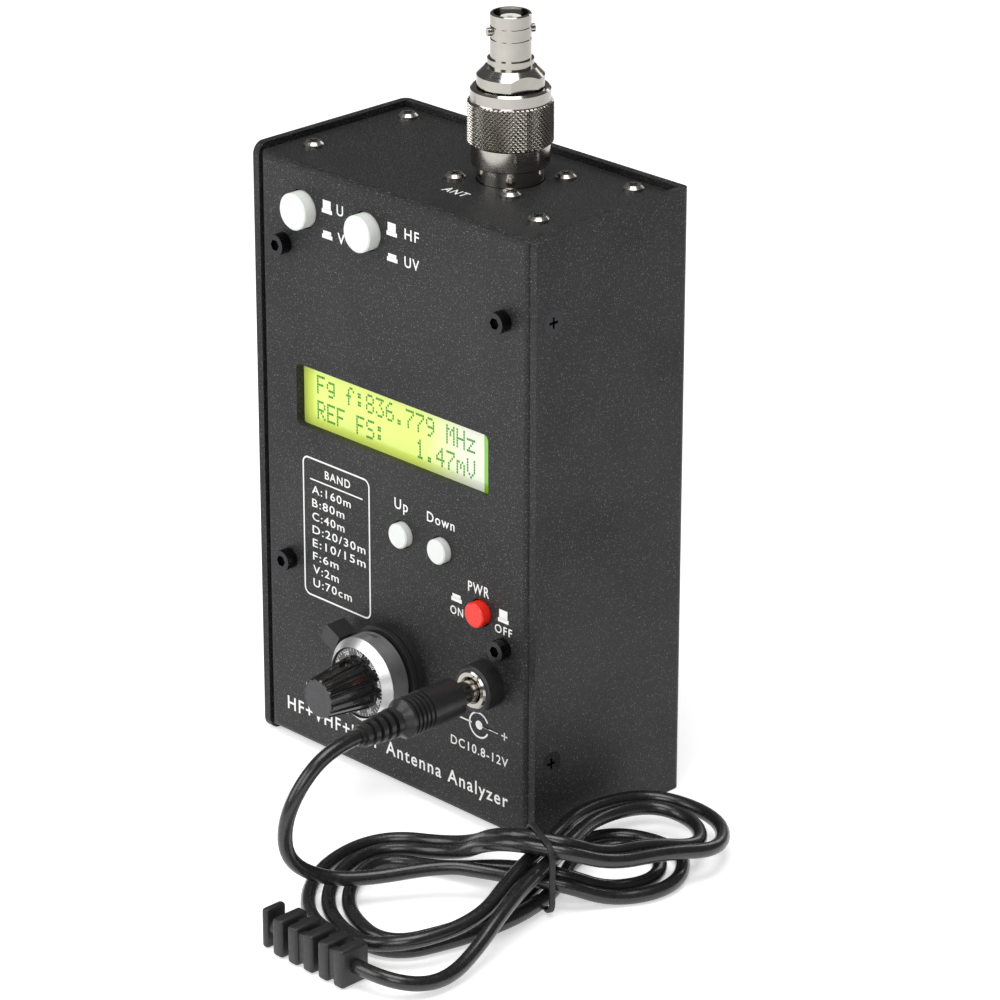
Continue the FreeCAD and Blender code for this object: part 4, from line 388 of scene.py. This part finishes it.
# Posts and rails inside the case: plated brass hexagon pillars cut from drawn bar, and two
# square bars of mill-finish aluminium, with the drawing lines along them.
dress(metal("plated_brass", (0.75, 0.7, 0.55), 0.26, (1, 1, 0.1)), "board_standoffs")
dress(metal("rail_aluminium", (0.7, 0.71, 0.72), 0.34, (0.06, 1, 1)), "mounting_rails")

# Circuit boards: green lacquered glass laminate with copper tracks under the lacquer, black
# moulded chips and connectors, and tin-plated cans soldered over the oscillator and bridge.
laminate = Finish("green_board", Coat_Weight=0.4)
track = laminate.between(laminate.grain(0.0022, 0, (1, 1, 3)), 0.5, 0.53)
laminate.feed("Base Color", laminate.blend(track, (0.006, 0.07, 0.022, 1), (0.015, 0.14, 0.04, 1)))
laminate.feed("Roughness", 0.3 + 0.2 * laminate.grain(0.001))
laminate.relief(track, 0.00003)
dress(laminate, "main_board", "rf_board", "lcd_board")
chips = Finish("black_chip")
chips.feed("Base Color", chips.blend(chips.grain(0.0015), (0.012, 0.012, 0.012, 1), (0.03, 0.03, 0.03, 1)))
chips.feed("Roughness", 0.5 + 0.2 * chips.grain(0.0003))
chips.relief(chips.grain(0.0002), 0.00002)
dress(chips, "board_components", "lcd_header")
dress(metal("tinned_steel", (0.62, 0.63, 0.64), 0.38), "shield_can", "rf_shield_can")

# Display: a backlit yellow-green character display. The glass lies in a black steel frame
# behind the panel's window. Towards its right end its colour fades to a pale grey, a painted
# reflection, which the glass also gives off as light.
glass = Finish("lcd_glass", Coat_Weight=0.6, Coat_Roughness=0.05, Emission_Strength=0.3)
# Painted reflection: the glass's colour and its glow fade to pale grey towards its right end.
painted_reflection_share = glass.between(glass.across("X"), 0.004, 0.026)
strip = glass.across("X") > 0.0278
glow_and_painted_reflection = glass.blend(painted_reflection_share, (0.56, 0.68, 0.12, 1), (0.64, 0.67, 0.56, 1))
glow_and_painted_reflection = glass.blend(glass.between(glass.grain(0.012), 0.3, 0.7, 0, 0.12), glow_and_painted_reflection, (0.70, 0.78, 0.2, 1))
glow_and_painted_reflection = glass.blend(strip, glow_and_painted_reflection, (0.16, 0.42, 0.0, 1))
glass.feed("Base Color", glow_and_painted_reflection)
glass.feed("Emission Color", glow_and_painted_reflection)
glass.feed("Roughness", 0.18 + 0.08 * glass.grain(0.002))
dress(glass, "lcd_glass")
guide = Finish("light_guide", Emission_Strength=0.4)
lit = guide.blend(guide.grain(0.004), (0.5, 0.65, 0.1, 1), (0.6, 0.75, 0.2, 1))
guide.feed("Base Color", lit)
guide.feed("Emission Color", lit)
guide.feed("Roughness", 0.4 + 0.2 * guide.grain(0.001))
dress(guide, "lcd_backlight")
frame_black = Finish("black_frame")
frame_black.feed("Base Color", frame_black.blend(frame_black.grain(0.002), (0.008, 0.008, 0.008, 1),
                                                 (0.02, 0.02, 0.02, 1)))
frame_black.feed("Roughness", 0.4 + 0.15 * frame_black.grain(0.0006))
frame_black.relief(frame_black.grain(0.0004), 0.00002)
dress(frame_black, "lcd_bezel")

# Reading on the display: liquid-crystal dots, five across and seven down in each sign, dark
# green on the lit ground. Two lines of sixteen signs show a frequency and a level.
DOTS = {
    "F": "11111 10000 10000 11110 10000 10000 10000", "g": "00000 01111 10001 10001 01111 00001 01110",
    "f": "00110 01001 01000 11100 01000 01000 01000", ":": "00000 01100 01100 00000 01100 01100 00000",
    "8": "01110 10001 10001 01110 10001 10001 01110", "3": "11111 00010 00100 00010 00001 10001 01110",
    "6": "00110 01000 10000 11110 10001 10001 01110", ".": "00000 00000 00000 00000 00000 01100 01100",
    "7": "11111 00001 00010 00100 01000 01000 01000", "9": "01110 10001 10001 01111 00001 00010 01100",
    "M": "10001 11011 10101 10101 10001 10001 10001", "H": "10001 10001 10001 11111 10001 10001 10001",
    "z": "00000 00000 11111 00010 00100 01000 11111", "R": "11110 10001 10001 11110 10100 10010 10001",
    "E": "11111 10000 10000 11110 10000 10000 11111", "S": "01111 10000 10000 01110 00001 00001 11110",
    "1": "00100 01100 00100 00100 00100 00100 01110", "4": "00010 00110 01010 10010 11111 00010 00010",
    "m": "00000 00000 11010 10101 10101 10001 10001", "V": "10001 10001 10001 10001 10001 01010 00100"}
crystal = Finish("lcd_glass.dots", Emission_Strength=0.1)
shade = crystal.blend(crystal.grain(0.002), (0.01, 0.19, 0.002, 1), (0.025, 0.27, 0.006, 1))
crystal.feed("Base Color", shade)
crystal.feed("Emission Color", shade)
crystal.feed("Roughness", 0.3 + 0.1 * crystal.grain(0.001))
DOT_SIZES = (0.49, 0.02, 0.58)
DOT_STEP, DOT_DROP, LINE_DROP, SIGN_DOTS = 0.5705, 0.7, 6.5, 6
READING_LEFT, READING_TOP, READING_FACE = -29.4, 98.8, -10.115
reading = bmesh.new()
for row, words in enumerate(("Fg f:836.779 MHz", "REF FS:   1.47mV")):
    for place, sign in enumerate(words):
        for down, dots in enumerate(DOTS.get(sign, "").split()):
            for over, dot in enumerate(dots):
                if dot == "1":
                    plate = bmesh.ops.create_cube(reading, size=1)["verts"]
                    bmesh.ops.scale(reading, vec=DOT_SIZES, verts=plate)
                    across = READING_LEFT + (place * SIGN_DOTS + over + 0.5) * DOT_STEP
                    level = READING_TOP - row * LINE_DROP - (down + 0.5) * DOT_DROP
                    bmesh.ops.translate(reading, vec=(across, READING_FACE, level), verts=plate)
finished("display_reading", reading, crystal, "case", smooth=False)


# Printing: white epoxy ink screened on the baked coat, a little rough where it lies over
# the coat's grain: the controls' labels and push signs, the supply's sign and a table of bands.
ink = Finish("panel_paint.ink")
ink.feed("Base Color", ink.blend(ink.grain(0.0005, 3), (0.78, 0.78, 0.77, 1), (0.9, 0.9, 0.89, 1)))
ink.feed("Roughness", 0.5 + 0.15 * ink.grain(0.0008))
ink.relief(ink.grain(0.00042, 3), 0.00004)
INK = 0.03
LETTER_HALF, LETTER_SPACING = 0.02, 1.18
PANEL_FACE, TOP_FACE = -13, 152


def printed(form, words, left, right, low, high, heavy=0.0):
    """Adds a word that fills left to right, and stands on low with its capitals up to high."""
    letters = bpy.data.curves.new("letters", "FONT")
    letters.body, letters.resolution_u = words, 4
    letters.offset, letters.extrude = heavy, LETTER_HALF
    letters.space_character = LETTER_SPACING
    writing = bpy.data.objects.new("letters", letters)
    scene.collection.objects.link(writing)
    flat = bpy.data.meshes.new_from_object(writing.evaluated_get(bpy.context.evaluated_depsgraph_get()))
    bpy.data.objects.remove(writing)
    before = set(form.verts)
    form.from_mesh(flat)
    added = [vert for vert in form.verts if vert not in before]
    starts, ends = min(vert.co.x for vert in added), max(vert.co.x for vert in added)
    top = max(vert.co.y for vert in added)
    bmesh.ops.translate(form, vec=(-starts, 0, 0), verts=added)
    bmesh.ops.scale(form, vec=((right - left) / (ends - starts), (high - low) / top,
                               INK / (2 * LETTER_HALF)), verts=added)
    bmesh.ops.translate(form, vec=(left, low, 0), verts=added)


def filled(form, left, right, low, high):
    """Adds a solid bar between the given sides."""
    bar = bmesh.ops.create_cube(form, size=1)["verts"]
    bmesh.ops.scale(form, vec=(right - left, high - low, INK), verts=bar)
    bmesh.ops.translate(form, vec=((left + right) / 2, (low + high) / 2, 0), verts=bar)


print_work = bmesh.new()
rim = rounded_rim(11.8, 18.25, 2.0, 0.42, INK)
bmesh.ops.translate(rim, vec=(-20.0, 60.15, -INK / 2), verts=rim.verts)
rim_mesh = bpy.data.meshes.new("rim")
rim.to_mesh(rim_mesh)
rim.free()
print_work.from_mesh(rim_mesh)
for words, left, right, low, high, heavy in (
        ("BAND", -23.9, -15.0, 74.2, 76.3, 0.012),
        ("A:160m", -28.6, -14.9, 69.2, 71.3, 0.008), ("B:80m", -28.6, -17.2, 65.7, 67.8, 0.008),
        ("C:40m", -28.6, -17.2, 62.2, 64.3, 0.008), ("D:20/30m", -28.6, -9.9, 58.7, 60.8, 0.008),
        ("E:10/15m", -28.6, -9.9, 55.2, 57.3, 0.008), ("F:6m", -28.6, -19.5, 51.7, 53.8, 0.008),
        ("V:2m", -28.6, -19.5, 48.2, 50.3, 0.008), ("U:70cm", -28.6, -14.9, 44.7, 46.8, 0.008),
        ("Up", 0.4, 5.0, 74.1, 76.8, 0.008), ("Down", 11.5, 20.8, 74.1, 76.6, 0.008),
        ("PWR", 25.3, 32.3, 60.6, 63.2, 0.01), ("ON", 19.3, 23.6, 53.0, 55.1, 0.008),
        ("OFF", 34.2, 39.9, 53.0, 55.1, 0.008), ("U", -18.4, -16.2, 142.5, 145.1, 0.008),
        ("V", -18.2, -15.8, 135.6, 138.2, 0.008), ("HF", 4.6, 9.4, 142.4, 145.0, 0.008),
        ("UV", 4.5, 9.4, 135.6, 138.2, 0.008), ("DC10.8-12V", 19.3, 38.6, 19.0, 21.3, 0.008),
        ("HF+VHF+UHF Antenna Analyzer", -38.8, 38.6, 8.4, 11.9, 0.01)):
    printed(print_work, words, left, right, low, high, heavy)
BUTTON_SIGNS = ((-21.8, 142.0, True), (0.3, 142.0, True), (-21.8, 135.7, False), (0.4, 135.7, False),
                (21.4, 56.4, False), (37.0, 56.0, True))
for across, low, tall in BUTTON_SIGNS:
    filled(print_work, across - 1.75, across + 1.75, low, low + 1.0)
    filled(print_work, across - 1.35, across + 1.35, low + 0.9, low + (3.2 if tall else 1.9))
for left, right, low, high in (
        (-29.2, -10.7, 72.6, 72.95), (22.1, 26.4, 26.7, 27.1), (28.9, 35.3, 26.7, 27.1),
        (36.4, 38.4, 26.65, 27.0), (37.25, 37.6, 25.8, 27.8)):
    filled(print_work, left, right, low, high)
SIGN_ACROSS, SIGN_LEVEL, SIGN_DOT = 28.9, 26.9, 1.15
SIGN_RADII, SIGN_OPENING = (2.95, 3.4), 0.45
bmesh.ops.create_cone(print_work, cap_ends=True, segments=24, radius1=SIGN_DOT, radius2=SIGN_DOT,
                      depth=INK, matrix=Matrix.Translation((SIGN_ACROSS, SIGN_LEVEL, 0)))
arc = [print_work.verts.new((SIGN_ACROSS + radius * math.cos(SIGN_OPENING),
                             SIGN_LEVEL + radius * math.sin(SIGN_OPENING), -INK / 2))
       for radius in SIGN_RADII]
stroke = print_work.edges.new(arc)
bmesh.ops.spin(print_work, geom=[*arc, stroke], cent=(SIGN_ACROSS, SIGN_LEVEL, 0), axis=(0, 0, 1),
               angle=2 * math.pi - 2 * SIGN_OPENING, steps=40)
sign_middle = Vector((SIGN_ACROSS, SIGN_LEVEL))
ring = [face for face in print_work.faces
        if abs(face.calc_center_median().z + INK / 2) < 1e-6
        and 2.9 < (face.calc_center_median().xy - sign_middle).length < 3.45]
thick = bmesh.ops.extrude_face_region(print_work, geom=ring)
bmesh.ops.translate(print_work, vec=(0, 0, INK), verts=[part for part in thick["geom"]
                                                        if isinstance(part, bmesh.types.BMVert)])
bmesh.ops.recalc_face_normals(print_work, faces=print_work.faces)
bmesh.ops.transform(print_work, matrix=Matrix.Translation((0, PANEL_FACE - INK / 2, 0))
                    @ Matrix.Rotation(math.pi / 2, 4, "X"), verts=print_work.verts)
finished("panel_printing", print_work, ink, "case", smooth=False)
top_print = bmesh.new()
printed(top_print, "ANT", 5.6, 12.8, -2.3, 0.4, 0.008)
bmesh.ops.translate(top_print, vec=(0, 0, TOP_FACE + INK / 2), verts=top_print.verts)
bmesh.ops.recalc_face_normals(top_print, faces=top_print.faces)
finished("top_printing", top_print, ink, "case", smooth=False)


# Push buttons: caps moulded in white and red acetal, semi-gloss with a faint flow pattern.
# Three are pressed on grey plungers of latching switches, and two bear on key switches.
def moulded(name, low, high, rough, pores=0.00001, **even):
    plastic = Finish(name, **even)
    flow = plastic.grain(0.003, 3)
    plastic.feed("Base Color", plastic.blend(flow, (*low, 1), (*high, 1)))
    plastic.feed("Roughness", plastic.between(plastic.grain(0.0007), 0.3, 0.7, rough * 0.85, rough * 1.2))
    plastic.relief(plastic.grain(0.0005), pores)
    return plastic


dress(moulded("white_plastic", (0.72, 0.72, 0.69), (0.8, 0.8, 0.77), 0.34, Subsurface_Weight=0.08),
      "u_v_button", "hf_uv_button", "up_button", "down_button")
dress(moulded("red_plastic", (0.84, 0.018, 0.01), (0.9, 0.03, 0.014), 0.3, Coat_Weight=0.05),
      "power_button")
dress(moulded("grey_plastic", (0.25, 0.25, 0.25), (0.32, 0.32, 0.32), 0.42),
      "u_v_plunger", "hf_uv_plunger", "power_plunger")
dress(moulding, "latching_switches", "tact_switches")

# Antenna socket and adapter: nickel-plated brass turned from bar, with white fluoroplastic
# round the gold-plated contacts. The plating is bright, with fine turning lines.
nickel = metal("nickel_plate", (0.46, 0.44, 0.40), 0.15, (1, 1, 12), 0.0011)
dress(nickel, "antenna_jack", "adapter_body")
dress(moulded("white_insulator", (0.74, 0.73, 0.68), (0.82, 0.81, 0.76), 0.45, Subsurface_Weight=0.1),
      "jack_insulator", "adapter_insulator")
gold = metal("gold_plate", (0.9, 0.62, 0.25), 0.22)
dress(gold, "jack_contact", "adapter_contact")

# Coupling nut: turned in nickel-plated brass, with a diamond knurl rolled in its middle band
# and a plain collar above and below. It turns on the adapter and holds it to the socket.
ANTENNA = Vector((10.9, 15.0, TOP_FACE))
KNURL_STEPS, KNURL_ROWS = 108, 17
KNURL_LOW, KNURL_TALL, KNURL_ROOT, KNURL_CREST = 9.5, 9.6, 9.62, 10.15
nut = bmesh.new()
outline = [(8.2, 3.9), (9.0, 3.9), (9.25, 4.15), (9.25, 8.9), (9.5, 9.3)]
outline += [(KNURL_ROOT, KNURL_LOW + KNURL_TALL * row / (KNURL_ROWS - 1)) for row in range(KNURL_ROWS)]
outline += [(9.5, 19.3), (9.4, 19.6), (9.4, 22.1), (8.9, 22.6), (6.7, 22.6), (6.7, 12.9), (8.2, 12.9),
            (8.2, 3.9)]
turned = [nut.verts.new((radius, 0, height)) for radius, height in outline]
edges = [nut.edges.new(pair) for pair in zip(turned, turned[1:])]
bmesh.ops.spin(nut, geom=turned + edges, cent=(0, 0, 0), axis=(0, 0, 1), angle=2 * math.pi,
               steps=KNURL_STEPS, use_merge=True)
bmesh.ops.remove_doubles(nut, verts=nut.verts, dist=0.001)
low = []
for vert in nut.verts:
    row = (vert.co.z - KNURL_LOW) / KNURL_TALL * (KNURL_ROWS - 1)
    radius = vert.co.xy.length
    if radius > KNURL_ROOT - 0.01 and -0.1 < row < KNURL_ROWS - 0.9:
        step = round(math.atan2(vert.co.y, vert.co.x) / (2 * math.pi) * KNURL_STEPS)
        if (round(row) + step) % 2 == 0:
            vert.co.xy *= KNURL_CREST / radius
        else:
            low.append(vert)
bmesh.ops.connect_verts(nut, verts=low)
bmesh.ops.recalc_face_normals(nut, faces=nut.faces)
bmesh.ops.translate(nut, vec=ANTENNA, verts=nut.verts)
nut = finished("knurled_nut", nut, nickel, "coupling_nut")
nut.data.set_sharp_from_angle(angle=math.radians(18))
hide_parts("coupling_nut")

# Tuning dial: a black moulded base and brake lever, a satin aluminium ring with a bright slope,
# two glossy black scales and a fluted knob with a matt grey cap, on a ten-turn potentiometer.
dress(moulding, "dial_base", "brake_lever")
dress(moulded("blue_plastic", (0.01, 0.04, 0.2), (0.015, 0.06, 0.28), 0.35), "pot_body")
dress(metal("satin_aluminium", (0.86, 0.86, 0.87), 0.36, (1, 1, 1), 0.00012, 0.0000004), "dial_ring")
gloss = moulded("gloss_black", (0.006, 0.006, 0.006), (0.014, 0.014, 0.014), 0.16, 0.000001, Coat_Weight=0.5)
dress(gloss, "tuning_knob", "scale_disc", "turn_counter_ring")
dress(moulded("grey_cap", (0.03, 0.03, 0.033), (0.05, 0.05, 0.053), 0.5), "knob_cap")
dress(metal("pot_steel", (0.6, 0.6, 0.6), 0.3), "pot_shaft")

# Knob's scale: white ink on the turning disc, with fifty strokes and a number at every
# fifth, whose figures stand either side of the long stroke.
DIAL_ACROSS, DIAL_LEVEL, SCALE_REACH = -1.1, 31.6, 11
STROKES, STROKE_TURN, FIRST_TURN = 50, 7.2, -219.8
scale = bmesh.new()
for stroke in range(STROKES):
    turned_by = Matrix.Rotation(math.radians(FIRST_TURN + STROKE_TURN * stroke), 4, "Z")
    before = set(scale.verts)
    filled(scale, -0.07, 0.07, 6.95 if stroke % 5 == 0 else 7.75, 8.45)
    if stroke % 5 == 0:
        if stroke:
            printed(scale, str(stroke // 5), -0.85, -0.2, 6.95, 7.95, 0.02)
        printed(scale, "0", 0.2, 0.85, 6.95, 7.95, 0.02)
    bmesh.ops.transform(scale, matrix=turned_by,
                        verts=[vert for vert in scale.verts if vert not in before])
bmesh.ops.recalc_face_normals(scale, faces=scale.faces)
scale_place = (DIAL_ACROSS, PANEL_FACE - SCALE_REACH - INK / 2, DIAL_LEVEL)
bmesh.ops.transform(scale, matrix=Matrix.Translation(scale_place) @ Matrix.Rotation(math.pi / 2, 4, "X"),
                    verts=scale.verts)
finished("scale_figures", scale, ink, "knob", smooth=False)

# Supply jack and plug: a nickel socket round a gilt pin in a black collar, and a nickel barrel
# in a grip of black vinyl moulded over the cord, with a leather grain from the mould.
grip = Finish("cord_vinyl.grip", Coat_Weight=0.1)
grip.feed("Base Color", grip.blend(grip.grain(0.003, 3), (0.009, 0.009, 0.01, 1), (0.02, 0.02, 0.021, 1)))
grip.feed("Roughness", grip.between(grip.grain(0.0008), 0.3, 0.7, 0.32, 0.46))
grip.relief(grip.grain(0.0006, 3), 0.00009)
dress(grip, "plug_grip")
dress(moulding, "plug_insulator", "dc_jack_collar")
dress(nickel, "dc_jack_socket", "plug_barrel")
dress(gold, "dc_jack_pin")
